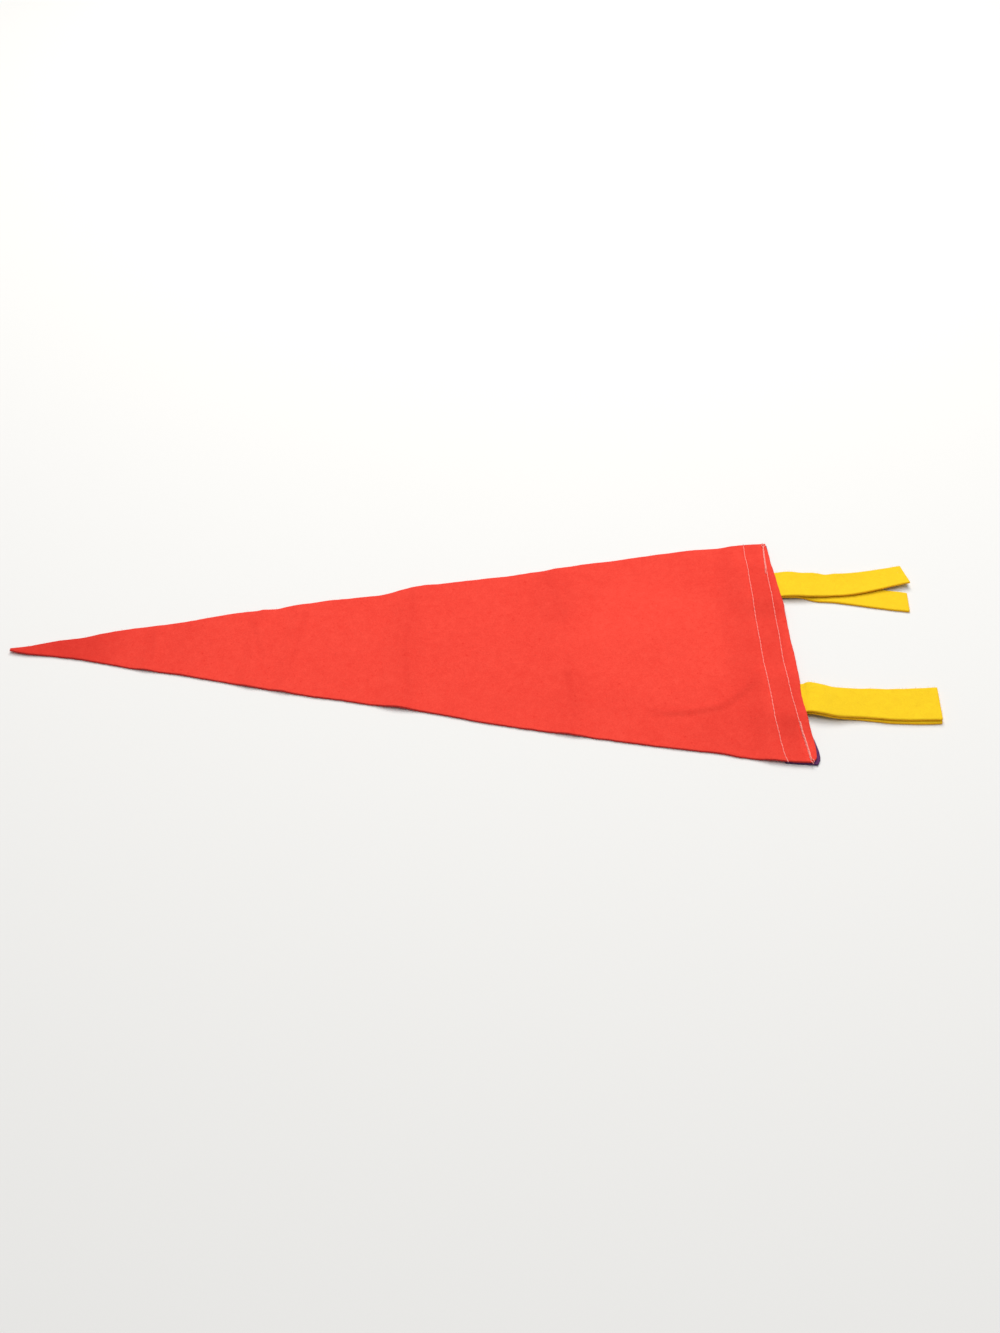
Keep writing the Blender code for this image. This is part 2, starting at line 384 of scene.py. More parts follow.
class TreeMaker:
    """Adds nodes to a shader or geometry tree and joins their sockets."""

    def __init__(self, tree: bpy.types.NodeTree) -> None:
        """Works on one tree."""
        self.tree = tree

    def feed(self, node: bpy.types.Node, inputs: dict) -> bpy.types.Node:
        """Sets or joins a node's inputs.

        Args:
            node: the node.
            inputs: a value or a socket for each input, by name or by index.

        Returns:
            The same node.
        """
        for key, value in inputs.items():
            if isinstance(value, bpy.types.NodeSocket):
                self.tree.links.new(value, node.inputs[key])
            else:
                node.inputs[key].default_value = value
        return node

    def node(self, kind: str, inputs: Optional[dict] = None, **settings: object) -> bpy.types.Node:
        """Adds a node.

        Args:
            kind: the node's type.
            inputs: a value or a socket for each input, by name or by index.
            settings: the node's own properties.

        Returns:
            The new node.
        """
        made = self.tree.nodes.new(kind)
        for name, value in settings.items():
            setattr(made, name, value)
        return self.feed(made, inputs or {})

    def math(self, operation: str, *values: object) -> bpy.types.NodeSocket:
        """A math node's result, from numbers or sockets."""
        made = self.node("ShaderNodeMath", dict(enumerate(values)), operation=operation)
        return made.outputs[0]

    def vector(self, operation: str, *values: object) -> bpy.types.NodeSocket:
        """A vector math node's result, from vectors or sockets."""
        made = self.node("ShaderNodeVectorMath", dict(enumerate(values)), operation=operation)
        return made.outputs[0]


class ShaderMaker(TreeMaker):
    """Makes one material's nodes around its Principled shader."""

    def __init__(self, name: str, colour: Colour) -> None:
        """Starts a material.

        Args:
            name: the material's name.
            colour: what a plain viewport shows it in.
        """
        self.material = bpy.data.materials.new(name)
        self.material.use_nodes = True
        self.material.diffuse_color = rgba(colour)
        super().__init__(self.material.node_tree)

    def millimetres(self) -> bpy.types.NodeSocket:
        """The object's own coordinates, in millimetres."""
        inputs = {0: self.node("ShaderNodeTexCoord").outputs["Object"], "Scale": 1.0 / MM}
        return self.node("ShaderNodeVectorMath", inputs, operation="SCALE").outputs[0]

    def ease(self, value: object, start: float, end: float, *ends: float) -> bpy.types.NodeSocket:
        """A smooth passage as a value goes from start to end: from 0 to 1, or between the ends."""
        inputs = dict(enumerate((value, start, end, *ends)))
        return self.node("ShaderNodeMapRange", inputs, interpolation_type="SMOOTHSTEP").outputs[0]

    def blend(self, share: object, low: object, high: object) -> bpy.types.NodeSocket:
        """The colour low where share is 0, and high where it is 1."""
        inputs = {0: share, 6: low, 7: high}
        return self.node("ShaderNodeMix", inputs, data_type="RGBA", clamp_factor=True).outputs[2]

    def weigh(
        self, total: float, *terms: tuple[bpy.types.NodeSocket, float, float]
    ) -> bpy.types.NodeSocket:
        """A sum of patterns.

        Args:
            total: what the patterns are added to.
            terms: for each pattern its socket, the value that counts as nothing, and its share.

        Returns:
            The sum.
        """
        for value, nothing, share in terms:
            value = self.math("SUBTRACT", value, nothing) if nothing else value
            total = self.math("MULTIPLY_ADD", value, share, total)
        return total

    def relief(self, height: object, strength: float, depth: float) -> bpy.types.NodeSocket:
        """The normal of a surface whose relief is a depth in millimetres."""
        inputs = {"Strength": strength, "Distance": depth * MM, "Height": height}
        return self.node("ShaderNodeBump", inputs).outputs[0]

    def finish(self, **inputs: object) -> bpy.types.Material:
        """Sets or joins the shader's inputs.

        Args:
            inputs: a value or a socket for each, under its name with _ for a space.

        Returns:
            The material.
        """
        named = {name.replace("_", " "): value for name, value in inputs.items()}
        self.feed(self.tree.nodes["Principled BSDF"], named)
        return self.material


class GeometryMaker(TreeMaker):
    """Makes one geometry tree, which takes a geometry and sizes and gives a geometry."""

    def __init__(self, name: str, **inputs: str) -> None:
        """Starts the tree.

        Args:
            name: the tree's name.
            inputs: the type of each further input, under its name with _ for a space.
        """
        super().__init__(bpy.data.node_groups.new(name, "GeometryNodeTree"))
        sockets = self.tree.interface
        sockets.new_socket("Geometry", in_out="INPUT", socket_type="NodeSocketGeometry")
        for label, kind in inputs.items():
            kind = "NodeSocket" + kind
            sockets.new_socket(label.replace("_", " "), in_out="INPUT", socket_type=kind)
        sockets.new_socket("Geometry", in_out="OUTPUT", socket_type="NodeSocketGeometry")
        self.given = self.node("NodeGroupInput").outputs

    def combine(self, x: object = 0.0, y: object = 0.0, z: object = 0.0) -> bpy.types.NodeSocket:
        """A vector from numbers or sockets."""
        return self.node("ShaderNodeCombineXYZ", {0: x, 1: y, 2: z}).outputs[0]

    def chance(self, low: object, high: object, turn: int = 0) -> bpy.types.NodeSocket:
        """A random number for each point, its pattern the tree's seed plus a turn."""
        inputs = {2: low, 3: high, "Seed": self.math("ADD", self.given["Seed"], float(turn))}
        return self.node("FunctionNodeRandomValue", inputs, data_type="FLOAT").outputs[1]

    def turn(self, rotation: object, axis: Place, angle: object) -> bpy.types.NodeSocket:
        """Turns a rotation further.

        Args:
            rotation: the rotation before.
            axis: which of its own axes it is turned about.
            angle: how far, in radians.

        Returns:
            The rotation after.
        """
        about = self.node("FunctionNodeAxisAngleToRotation", {"Axis": axis, "Angle": angle})
        inputs = {"Rotation": rotation, "Rotate By": about.outputs[0]}
        return self.node("FunctionNodeRotateRotation", inputs, rotation_space="LOCAL").outputs[0]

    def line(self, start: object, end: object, count: int) -> bpy.types.NodeSocket:
        """A straight curve of a number of points."""
        curve = self.node("GeometryNodeCurvePrimitiveLine", {"Start": start, "End": end}).outputs[0]
        return self.node("GeometryNodeResampleCurve", {"Curve": curve, "Count": count}).outputs[0]

    def strand(
        self, line: object, offset: object, radius: object, sides: int
    ) -> bpy.types.NodeSocket:
        """A closed tube around a bent line.

        Args:
            line: the line before it is bent.
            offset: how far each of its points is moved.
            radius: the tube's radius.
            sides: the tube's flat sides.

        Returns:
            The tube's mesh.
        """
        bent = self.node("GeometryNodeSetPosition", {"Geometry": line, "Offset": offset})
        profile = {"Resolution": sides, "Radius": radius}
        loop = self.node("GeometryNodeCurvePrimitiveCircle", profile)
        inputs = {"Curve": bent.outputs[0], "Profile Curve": loop.outputs[0], "Fill Caps": True}
        return self.node("GeometryNodeCurveToMesh", inputs).outputs[0]

    def finish(self, material: str, **inputs: object) -> bpy.types.NodeTree:
        """Ends the tree: real, smooth pieces on points, in one material.

        Args:
            material: the name of the tree's input that holds it.
            inputs: the points, the piece to stand on them, and its rotation and scale.

        Returns:
            The tree.
        """
        laid = self.node("GeometryNodeInstanceOnPoints", inputs)
        real = self.node("GeometryNodeRealizeInstances", {"Geometry": laid.outputs[0]})
        smooth = self.node("GeometryNodeSetShadeSmooth", {"Geometry": real.outputs[0]})
        dress = {"Geometry": smooth.outputs[0], "Material": self.given[material]}
        dressed = self.node("GeometryNodeSetMaterial", dress)
        self.node("NodeGroupOutput", {"Geometry": dressed.outputs[0]})
        return self.tree


# ---------------------------------------------------------------- finishes


@dataclass(frozen=True)
class FeltFinish:
    """Pressed felt: tangled fibres over a softly mottled ground, matt, with a short nap.

    A pattern's share says how much it tells in the colour, and its relief how far it stands out.
    """

    name: str
    lit: Colour
    shade: Colour
    # the colour cut edges are painted in: painted shade, with painted bounce light in the yellow
    cut: Colour
    # how deep the painted light and shade go in each channel
    painted_shading_depth: Colour
    seed: float
    sheen_tint: Colour
    strand_share: float = 0.30
    mottle_share: float = 0.75
    cloud_share: float = 0.35
    fleck_share: float = 0.45
    middle_tone: float = 0.6
    middle_noise: float = 0.5
    middle_strands: float = 0.4
    noise_roughness: float = 0.6
    roughness: float = 0.92
    sheen: float = 0.12
    sheen_roughness: float = 0.45
    specular: float = 0.22
    relief: float = 0.16
    relief_strength: float = 0.55
    mottle_relief: float = 1.2
    strand_relief: float = 0.55
    grain_relief: float = 0.5
    mottle: Pattern = Pattern(0.28, 4.0, 0)
    cloud: Pattern = Pattern(0.045, 2.0, 1)
    grain: Pattern = Pattern(2.6, 2.0, 2)
    strand_patterns: tuple[Pattern, Pattern] = (Pattern(0.62, 1.5, 3), Pattern(1.05, 1.5, 4))
    strand_width: float = 0.055
    flecks: Pattern = Pattern(0.5, 3.0, 7)
    fleck_range: tuple[float, float] = (0.60, 0.72)

    def noise(
        self, maker: ShaderMaker, place: bpy.types.NodeSocket, pattern: Pattern
    ) -> bpy.types.NodeSocket:
        """A pattern's value.

        Args:
            maker: adds the node.
            place: where the pattern is read, in millimetres.
            pattern: its row of numbers.

        Returns:
            The value, around the middle one.
        """
        inputs = {
            "Vector": place,
            "W": self.seed + pattern.turn,
            "Scale": pattern.scale,
            "Detail": pattern.detail,
            "Roughness": self.noise_roughness,
        }
        return maker.node("ShaderNodeTexNoise", inputs, noise_dimensions="4D").outputs[0]

    def strands(self, maker: ShaderMaker, place: bpy.types.NodeSocket) -> bpy.types.NodeSocket:
        """The felt's longer fibres, thin curling lines.

        Args:
            maker: adds the nodes.
            place: where they are read, in millimetres.

        Returns:
            A value of 1 on the lines and 0 between them.
        """
        lines = []
        for pattern in self.strand_patterns:
            level = self.noise(maker, place, pattern)
            off = maker.math("ABSOLUTE", maker.math("SUBTRACT", level, self.middle_noise))
            lines.append(maker.ease(off, 0.0, self.strand_width, 1.0, 0.0))
        return maker.math("MAXIMUM", *lines)

    def material(self) -> bpy.types.Material:
        """The finish as a node material.

        Returns:
            A material that reads the object's own coordinates, its attribute of painted light
            and shade, and its attribute that marks cut edges, which it paints in shade.
        """
        maker = ShaderMaker(self.name, self.lit)
        place = maker.millimetres()
        mottle, cloud, grain, flecks = (
            self.noise(maker, place, pattern)
            for pattern in (self.mottle, self.cloud, self.grain, self.flecks)
        )
        strands = self.strands(maker, place)
        level = maker.weigh(
            self.middle_tone,
            (mottle, self.middle_noise, self.mottle_share),
            (cloud, self.middle_noise, self.cloud_share),
            (strands, self.middle_strands, self.strand_share),
            (maker.ease(flecks, *self.fleck_range), 0.0, -self.fleck_share),
        )
        ground = maker.blend(level, rgba(self.shade), rgba(self.lit))
        # Painted light and shade: an attribute scales the colour, each channel by its own depth.
        wear = maker.node("ShaderNodeAttribute", attribute_name="wear").outputs["Fac"]
        wear = maker.vector("MULTIPLY_ADD", wear, self.painted_shading_depth, (1.0, 1.0, 1.0))
        tone = maker.vector("MULTIPLY", ground, wear)
        # Cut edges take a darker colour: painted shade.
        cut = maker.node("ShaderNodeAttribute", attribute_name="cut").outputs["Fac"]
        height = maker.weigh(
            0.0,
            (strands, 0.0, self.strand_relief),
            (mottle, 0.0, self.mottle_relief),
            (grain, 0.0, self.grain_relief),
        )
        return maker.finish(
            Base_Color=maker.blend(cut, tone, rgba(self.cut)),
            Normal=maker.relief(height, self.relief_strength, self.relief),
            Roughness=self.roughness,
            Specular_IOR_Level=self.specular,
            Sheen_Weight=self.sheen,
            Sheen_Roughness=self.sheen_roughness,
            Sheen_Tint=rgba(self.sheen_tint),
        )


@dataclass(frozen=True)
class ThreadFinish:
    """Spun sewing thread: soft fibres along each ply, with a slight lustre."""

    name: str
    lit: Colour
    shade: Colour
    roughness: float = 0.62
    sheen: float = 0.4
    specular: float = 0.35
    tone_scale: float = 0.35
    fibre_scale: float = 6.0
    relief: float = 0.05
    relief_strength: float = 0.4

    def material(self) -> bpy.types.Material:
        """The finish as a node material.

        Returns:
            A material that reads the object's own coordinates.
        """
        maker = ShaderMaker(self.name, self.lit)
        place = maker.millimetres()
        tone, fibres = (
            maker.node("ShaderNodeTexNoise", {"Vector": place, "Scale": scale}).outputs[0]
            for scale in (self.tone_scale, self.fibre_scale)
        )
        return maker.finish(
            Base_Color=maker.blend(tone, rgba(self.shade), rgba(self.lit)),
            Normal=maker.relief(fibres, self.relief_strength, self.relief),
            Roughness=self.roughness,
            Specular_IOR_Level=self.specular,
            Sheen_Weight=self.sheen,
        )


@dataclass(frozen=True)
class FloorFinish:
    """A plain pale floor."""

    name: str = "pale_floor"
    colour: Colour = (0.79, 0.785, 0.77)
    roughness: float = 0.85
    specular: float = 0.1

    def material(self) -> bpy.types.Material:
        """The finish as a node material."""
        return ShaderMaker(self.name, self.colour).finish(
            Base_Color=rgba(self.colour),
            Roughness=self.roughness,
            Specular_IOR_Level=self.specular,
        )


# ---------------------------------------------------------------- mesh making

FACE_NAP = 0.012  # fibres on a felt's face, as a share of those on its cut edge
NAP_HEIGHTS = (0.95, 1.12)  # no fibre stands lower than the first, so none meets the floor
NAP_SLOPES = (0.25, 0.7)  # how far up a face looks where fibres begin, and where all stand
EDGE_HILLS = Hills(0.05, 1.1, 40)  # looseness of the rings of a cut edge
EDGE_SHIFT = 31.0  # moves each ring on in the pattern
INSIDE_ONLY = 1  # keeps the triangles inside an outline
SAME_POINT = 1e-5  # points nearer than this count as one
# the last column: how much of each ring is cut edge, painted in shade and given nap
CUT_EDGE = table(
    RimStep,
    (0.42, 0.0, 0.0), (0.16, 0.07, 0.25), (0.02, 0.28, 0.8), (0.0, 0.5, 1.0), (0.03, 0.74, 1.0),
    (0.17, 0.94, 0.6), (0.42, 1.0, 0.0),
)


class MeshParts:
    """Vertices and faces of one mesh, gathered piece by piece, in millimetres."""

    def __init__(self) -> None:
        """Starts empty."""
        self.points: list[np.ndarray] = []
        self.shaded_cuts: list[np.ndarray] = []
        self.faces: list[tuple[int, ...]] = []
        self.count = 0

    def add(
        self, points: np.ndarray, faces: Sequence[Sequence[int]], cut: Optional[np.ndarray] = None
    ) -> int:
        """Adds points and the faces between them.

        Args:
            points: one row of x, y, z each.
            faces: each a loop of indices into points.
            cut: for each point, 1 on a cut edge, which is painted in shade, and 0 away from it.

        Returns:
            The first point's index in the whole mesh.
        """
        first = self.count
        self.points.append(np.asarray(points, float))
        self.shaded_cuts.append(np.zeros(len(points)) if cut is None else cut)
        self.faces += [tuple(int(i) + first for i in face) for face in faces]
        self.count += len(points)
        return first

    def mesh(self, name: str, wear: Optional[Height] = None) -> bpy.types.Mesh:
        """The gathered mesh, in metres and smooth.

        Args:
            name: the mesh's name.
            wear: painted light and shade on felt at a place, or None for what isn't felt.

        Returns:
            The mesh. Felt has at each point a value of painted light and shade, a value that
            marks its cut edges for their painted shade and their nap, and a "nap" value that is
            greatest on cut edges and 0 on its lower face.
        """
        points, cut = np.concatenate(self.points), np.concatenate(self.shaded_cuts)
        made = bpy.data.meshes.new(name)
        made.from_pydata((points * MM).tolist(), [], self.faces)
        made.update()
        made.polygons.foreach_set("use_smooth", [True] * len(made.polygons))
        if wear is None:
            return made
        normals = np.zeros(3 * self.count)
        made.vertices.foreach_get("normal", normals)
        upward = smooth_step(normals[2::3], *NAP_SLOPES) * smooth_step(points[:, 2], *NAP_HEIGHTS)
        values = {
            "wear": wear(points[:, 0], points[:, 1]),
            "cut": cut,
            "nap": upward * (FACE_NAP + (1.0 - FACE_NAP) * cut),
        }
        for label, value in values.items():
            made.attributes.new(label, "FLOAT", "POINT").data.foreach_set("value", value)
        return made


def add_object(
    name: str, mesh: bpy.types.Mesh, material: Optional[bpy.types.Material] = None
) -> bpy.types.Object:
    """Stands a mesh at the origin.

    Args:
        name: the object's name.
        mesh: its mesh.
        material: the mesh's material, or None if it has one or gets one later.

    Returns:
        The object.
    """
    made = bpy.data.objects.new(name, mesh)
    if material is not None:
        mesh.materials.append(material)
    bpy.context.scene.collection.objects.link(made)
    return made


def no_painted_shading(x: np.ndarray, y: np.ndarray) -> np.ndarray:
    """No painted light or shade: the same all over the felt."""
    return np.zeros(np.shape(x))


def ring_normals(ring: np.ndarray) -> np.ndarray:
    """The outward direction in plan at each point of a counter-clockwise outline."""
    along = np.roll(ring, -1, axis=0) - np.roll(ring, 1, axis=0)
    return unit(np.stack([along[:, 1], -along[:, 0]], axis=1))


def hand_cut(ring: np.ndarray, wobble: Sequence[Hills]) -> np.ndarray:
    """An outline with the small wobble that scissors leave."""
    off = sum(hills.at(*ring.T) for hills in wobble)
    return ring + ring_normals(ring) * off[:, None]


def bands(rings: int, count: int, flip: bool = False) -> list[tuple[int, ...]]:
    """The faces between rings of points, each ring joined to the next.

    Args:
        rings: how many rings there are.
        count: the points in each.
        flip: whether the faces look the other way.

    Returns:
        Each face as a loop of indices.
    """
    faces = []
    for this in range(0, (rings - 1) * count, count):
        other = this + count
        for k in range(count):
            m = (k + 1) % count
            a, b, c, d = this + k, other + k, other + m, this + m
            faces.append((a, d, c, b) if flip else (a, b, c, d))
    return faces


def fill(ring: np.ndarray, inner: np.ndarray) -> tuple[list[int], list[list[int]]]:
    """Triangles over the inside of a ring.

    Args:
        ring: the outline's points in plan, counter-clockwise.
        inner: points inside it.

    Returns:
        For each point of ring and inner, its place among the triangles' points, and the
        triangles, counter-clockwise from above.
    """
    flat = [Vector(point) for point in np.concatenate([ring, inner])]
    edge = [list(range(len(ring)))]
    made = delaunay_2d_cdt(flat, [], edge, INSIDE_ONLY, SAME_POINT)
    found, _, triangles, sources, *_ = made
    place = [0] * len(flat)
    for index, group in enumerate(sources):
        for source in group:
            place[source] = index
    turned = []
    for a, b, c in triangles:
        area = (found[b] - found[a]).cross(found[c] - found[a])
        turned.append([a, b, c] if area > 0 else [a, c, b])
    return place, turned


def felt_slab(
    ring: np.ndarray, top: Height, under: Height, top_inner: np.ndarray, under_inner: np.ndarray
) -> MeshParts:
    """A closed sheet of felt with a soft cut edge.

    Args:
        ring: its outline in plan, counter-clockwise.
        top: height of its upper face at a place.
        under: height of its lower face at a place.
        top_inner: points of the upper face inside the outline.
        under_inner: points of the lower face inside the outline.

    Returns:
        The sheet's mesh parts.
    """
    parts = MeshParts()
    outward = ring_normals(ring)
    count, last = len(ring), len(CUT_EDGE) - 1
    rings = []
    for number, step in enumerate(CUT_EDGE):
        inset = np.full(count, step.inset)
        if 0 < number < last:
            inset += EDGE_HILLS.at(ring[:, 0] + EDGE_SHIFT * number, ring[:, 1], number)
        flat = ring - outward * inset[:, None]
        high, low = top(*flat.T), under(*flat.T)
        rings.append(np.column_stack([flat, high + (low - high) * step.depth]))
    shaded_cuts = np.repeat([step.cut for step in CUT_EDGE], count)
    parts.add(np.concatenate(rings), bands(len(rings), count), shaded_cuts)
    for height, inner, number in ((top, top_inner, 0), (under, under_inner, last)):
        place, triangles = fill(rings[number][:, :2], inner)
        start = parts.add(np.column_stack([inner, height(*inner.T)]), [])
        edge = range(number * count, (number + 1) * count)
        whole = dict(zip(place, [*edge, *range(start, parts.count)]))
        for triangle in triangles:
            loop = tuple(whole[p] for p in triangle)
            parts.faces.append(loop[::-1] if number == last else loop)
    return parts


# ---------------------------------------------------------------- repeated work: geometry nodes

PLIES = 3  # strands twisted into a thread
PLY_OFFSET = 0.5  # a ply's distance from the thread's middle, as a share of its radius
PLY_SIDES = 6


def grow(
    name: str, base: bpy.types.Mesh, tree: bpy.types.NodeTree, values: dict[str, object]
) -> bpy.types.Object:
    """An object whose plain mesh is what a geometry tree makes of a base mesh.

    Args:
        name: the object's name.
        base: the mesh that the tree starts from.
        tree: the geometry tree.
        values: each of the tree's inputs by name.

    Returns:
        The object, with no modifier left on it.
    """
    made = add_object(name, base)
    growth = made.modifiers.new(tree.name, "NODES")
    growth.node_group = tree
    for socket in tree.interface.items_tree:
        if socket.in_out == "INPUT" and socket.name in values:
            growth[socket.identifier] = values[socket.name]
    graph = bpy.context.evaluated_depsgraph_get()
    plain = bpy.data.meshes.new_from_object(made.evaluated_get(graph), depsgraph=graph)
    made.modifiers.remove(growth)
    made.data = plain
    plain.name = name
    return made


def stitch_tree(
    points: int = 13, ply_radius: float = 0.56, dive: float = 2.2, dive_power: float = 5.0
) -> bpy.types.NodeTree:
    """The tree that lays one twisted stitch on each edge of a line of needle holes.

    Args:
        points: how many points a stitch's line has.
        ply_radius: a ply's radius, as a share of the thread's.
        dive: how far down from its middle a stitch's ends go, in arches.
        dive_power: how late they turn down.

    Returns:
        The tree.
    """
    maker = GeometryMaker(
        "stitches",
        Stitch_Length="Float",
        Thread_Radius="Float",
        Arch="Float",
        Twist="Float",
        Sway="Float",
        Seed="Int",
        Thread="Material",
    )
    given = maker.given
    ends = maker.node("GeometryNodeInputMeshEdgeVertices").outputs
    run = maker.vector("SUBTRACT", ends["Position 2"], ends["Position 1"])
    kept = maker.node("GeometryNodeCaptureAttribute", domain="EDGE")
    kept.capture_items.new("VECTOR", "Run")
    maker.feed(kept, {"Geometry": given["Geometry"], "Run": run})
    run = kept.outputs["Run"]
    middles = {"Mesh": kept.outputs["Geometry"]}
    places = maker.node("GeometryNodeMeshToPoints", middles, mode="EDGES").outputs[0]
    length = maker.node("ShaderNodeVectorMath", {0: run}, operation="LENGTH").outputs["Value"]
    stretch = maker.math("DIVIDE", length, given["Stitch Length"])
    facing = maker.node("FunctionNodeAlignRotationToVector", {"Vector": run}, axis="X").outputs[0]
    sway = maker.chance(maker.math("MULTIPLY", given["Sway"], -1.0), given["Sway"])

    half = maker.math("MULTIPLY", given["Stitch Length"], 0.5)
    start = maker.combine(maker.math("MULTIPLY", half, -1.0))
    line = maker.line(start, maker.combine(half), points)
    share = maker.node("GeometryNodeSplineParameter").outputs["Factor"]
    across = maker.math("MULTIPLY_ADD", share, 2.0, -1.0)
    fall = maker.math("POWER", maker.math("ABSOLUTE", across), dive_power)
    rise = maker.math("MULTIPLY", maker.math("MULTIPLY_ADD", fall, -dive, 1.0), given["Arch"])
    offset = maker.math("MULTIPLY", given["Thread Radius"], PLY_OFFSET)
    radius = maker.math("MULTIPLY", given["Thread Radius"], ply_radius)
    joined = maker.node("GeometryNodeJoinGeometry")
    for ply in range(PLIES):
        turns = maker.math("MULTIPLY_ADD", share, given["Twist"], ply / PLIES)
        angle = maker.math("MULTIPLY", turns, 2.0 * math.pi)
        side = maker.math("MULTIPLY", maker.math("COSINE", angle), offset)
        up = maker.math("MULTIPLY_ADD", maker.math("SINE", angle), offset, rise)
        strand = maker.strand(line, maker.combine(y=side, z=up), radius, PLY_SIDES)
        maker.feed(joined, {0: strand})
    return maker.finish(
        "Thread",
        Points=places,
        Instance=joined.outputs[0],
        Rotation=maker.turn(facing, (0, 0, 1), sway),
        Scale=maker.combine(stretch, 1.0, 1.0),
    )


def nap_tree(
    points: int = 4, sides: int = 3, sizes: tuple[float, float] = (0.4, 1.1), droop: float = 0.6
) -> bpy.types.NodeTree:
    """The tree that stands short bent fibres on a felt's faces, by its "nap" attribute.

    Args:
        points: how many points a fibre's line has.
        sides: a fibre's flat sides.
        sizes: the least and the greatest size of a fibre, as shares of the whole.
        droop: how far a fibre's tip sinks, as a share of how far it curls over.

    Returns:
        The tree.
    """
    maker = GeometryMaker(
        "nap",
        Fibre_Length="Float",
        Fibre_Radius="Float",
        Fibres_per_Square_Metre="Float",
        Least_Lean="Float",
        Most_Lean="Float",
        Curl="Float",
        Seed="Int",
        Fibre="Material",
    )
    given = maker.given
    named = maker.node("GeometryNodeInputNamedAttribute", {"Name": "nap"}, data_type="FLOAT")
    nap = named.outputs["Attribute"]
    inputs = {
        "Mesh": given["Geometry"],
        "Density": maker.math("MULTIPLY", given["Fibres per Square Metre"], nap),
        "Seed": given["Seed"],
    }
    spread = maker.node(
        "GeometryNodeDistributePointsOnFaces", inputs, distribute_method="RANDOM"
    ).outputs
    turned = maker.turn(spread["Rotation"], (0, 0, 1), maker.chance(0.0, 2.0 * math.pi))
    lean = maker.chance(given["Least Lean"], given["Most Lean"], 1)
    size = maker.chance(*sizes, 2)

    line = maker.line((0, 0, 0), maker.combine(z=given["Fibre Length"]), points)
    share = maker.node("GeometryNodeSplineParameter").outputs["Factor"]
    bend = maker.math("MULTIPLY", maker.math("POWER", share, 2.0), given["Curl"])
    offset = maker.combine(bend, z=maker.math("MULTIPLY", bend, -droop))
    return maker.finish(
        "Fibre",
        Points=spread["Points"],
        Instance=maker.strand(line, offset, given["Fibre Radius"], sides),
        Rotation=maker.turn(turned, (0, 1, 0), lean),
        Scale=maker.combine(size, size, size),
    )


# ---------------------------------------------------------------- seams


@dataclass(frozen=True)
class SeamLine:
    """One line of machine stitching across the heading, from the far side to the near one."""

    points: tuple[EdgePoint, ...]
    seed: int
    pitch: float = 2.7
    pitch_error: float = 0.16
    side_error: float = 0.09
    groove: float = 0.3
    groove_half: float = 1.4
    groove_fade: float = 2.5
    hole: float = 0.28
    hole_half: float = 0.7

    def x_at(self, y: np.ndarray) -> np.ndarray:
        """Where the line runs at a place across the pennant."""
        return column_at(sorted(self.points), "y", "x", y)

    def holes(self) -> np.ndarray:
        """The needle holes.

        Returns:
            Each hole's x and y, from the far side to the near one.
        """
        ys = steps(self.points[0].y, self.points[-1].y, self.pitch)
        chance = np.random.default_rng(self.seed)
        error = self.pitch_error
        ys[1:-1] += chance.uniform(-error, error, len(ys) - 2) * self.pitch
        xs = self.x_at(ys) + chance.uniform(-self.side_error, self.side_error, len(ys))
        return np.column_stack([xs, ys])

    def dent(self, x: np.ndarray, y: np.ndarray) -> np.ndarray:
        """How deep the stitching pulls the felt in.

        Args:
            x: places along the pennant.
            y: places across it.

        Returns:
            The depth at each place, greatest at the needle holes.
        """
        far, near = self.points[0].y, self.points[-1].y
        inside = smooth_step(y, near - self.groove_fade, near)
        inside *= 1.0 - smooth_step(y, far, far + self.groove_fade)
        depth = self.groove * bump(x - self.x_at(y), self.groove_half) * inside
        holes = self.holes()[::-1]
        nearest = np.clip(np.searchsorted(holes[:, 1], y), 1, len(holes) - 1)
        before = np.abs(y - holes[nearest - 1, 1]) < np.abs(y - holes[nearest, 1])
        hole = holes[np.where(before, nearest - 1, nearest)]
        distance = np.hypot(x - hole[..., 0], y - hole[..., 1])
        return depth + self.hole * bump(distance, self.hole_half)


INNER_SEAM = SeamLine(
    table(
        EdgePoint,
        (77.4, -6.2), (69.0, -6.6), (58.0, -6.8), (49.0, -7.1), (42.0, -7.2), (33.0, -7.4),
        (18.0, -7.5), (-1.0, -7.8), (-18.0, -8.1), (-27.0, -8.2), (-35.0, -8.0), (-51.0, -8.3),
        (-58.6, -7.7), (-66.0, -7.4), (-74.0, -6.8), (-77.0, -6.1),
    ),
    seed=3,
)
OUTER_SEAM = SeamLine(
    table(
        EdgePoint,
        (77.2, 4.9), (66.0, 3.9), (57.0, 3.3), (49.0, 2.9), (38.0, 3.0), (29.0, 2.8),
        (11.0, 2.9), (-6.0, 2.3), (-27.0, 1.9), (-39.0, 2.2), (-51.0, 2.8), (-59.0, 3.4),
        (-66.5, 4.2), (-74.0, 4.8), (-77.9, 5.0),
    ),
    seed=5,
)
FAR_BACKTACK = SeamLine(
    table(EdgePoint, (77.0, 4.5), (70.0, 3.85), (62.0, 3.05), (55.5, 2.4)),
    seed=7,
    pitch=2.4,
)
NEAR_BACKTACK = SeamLine(
    table(EdgePoint, (-54.0, 3.25), (-62.0, 4.0), (-70.0, 4.75), (-77.0, 5.2)),
    seed=9,
    pitch=2.4,
)


# ---------------------------------------------------------------- the felt's lie


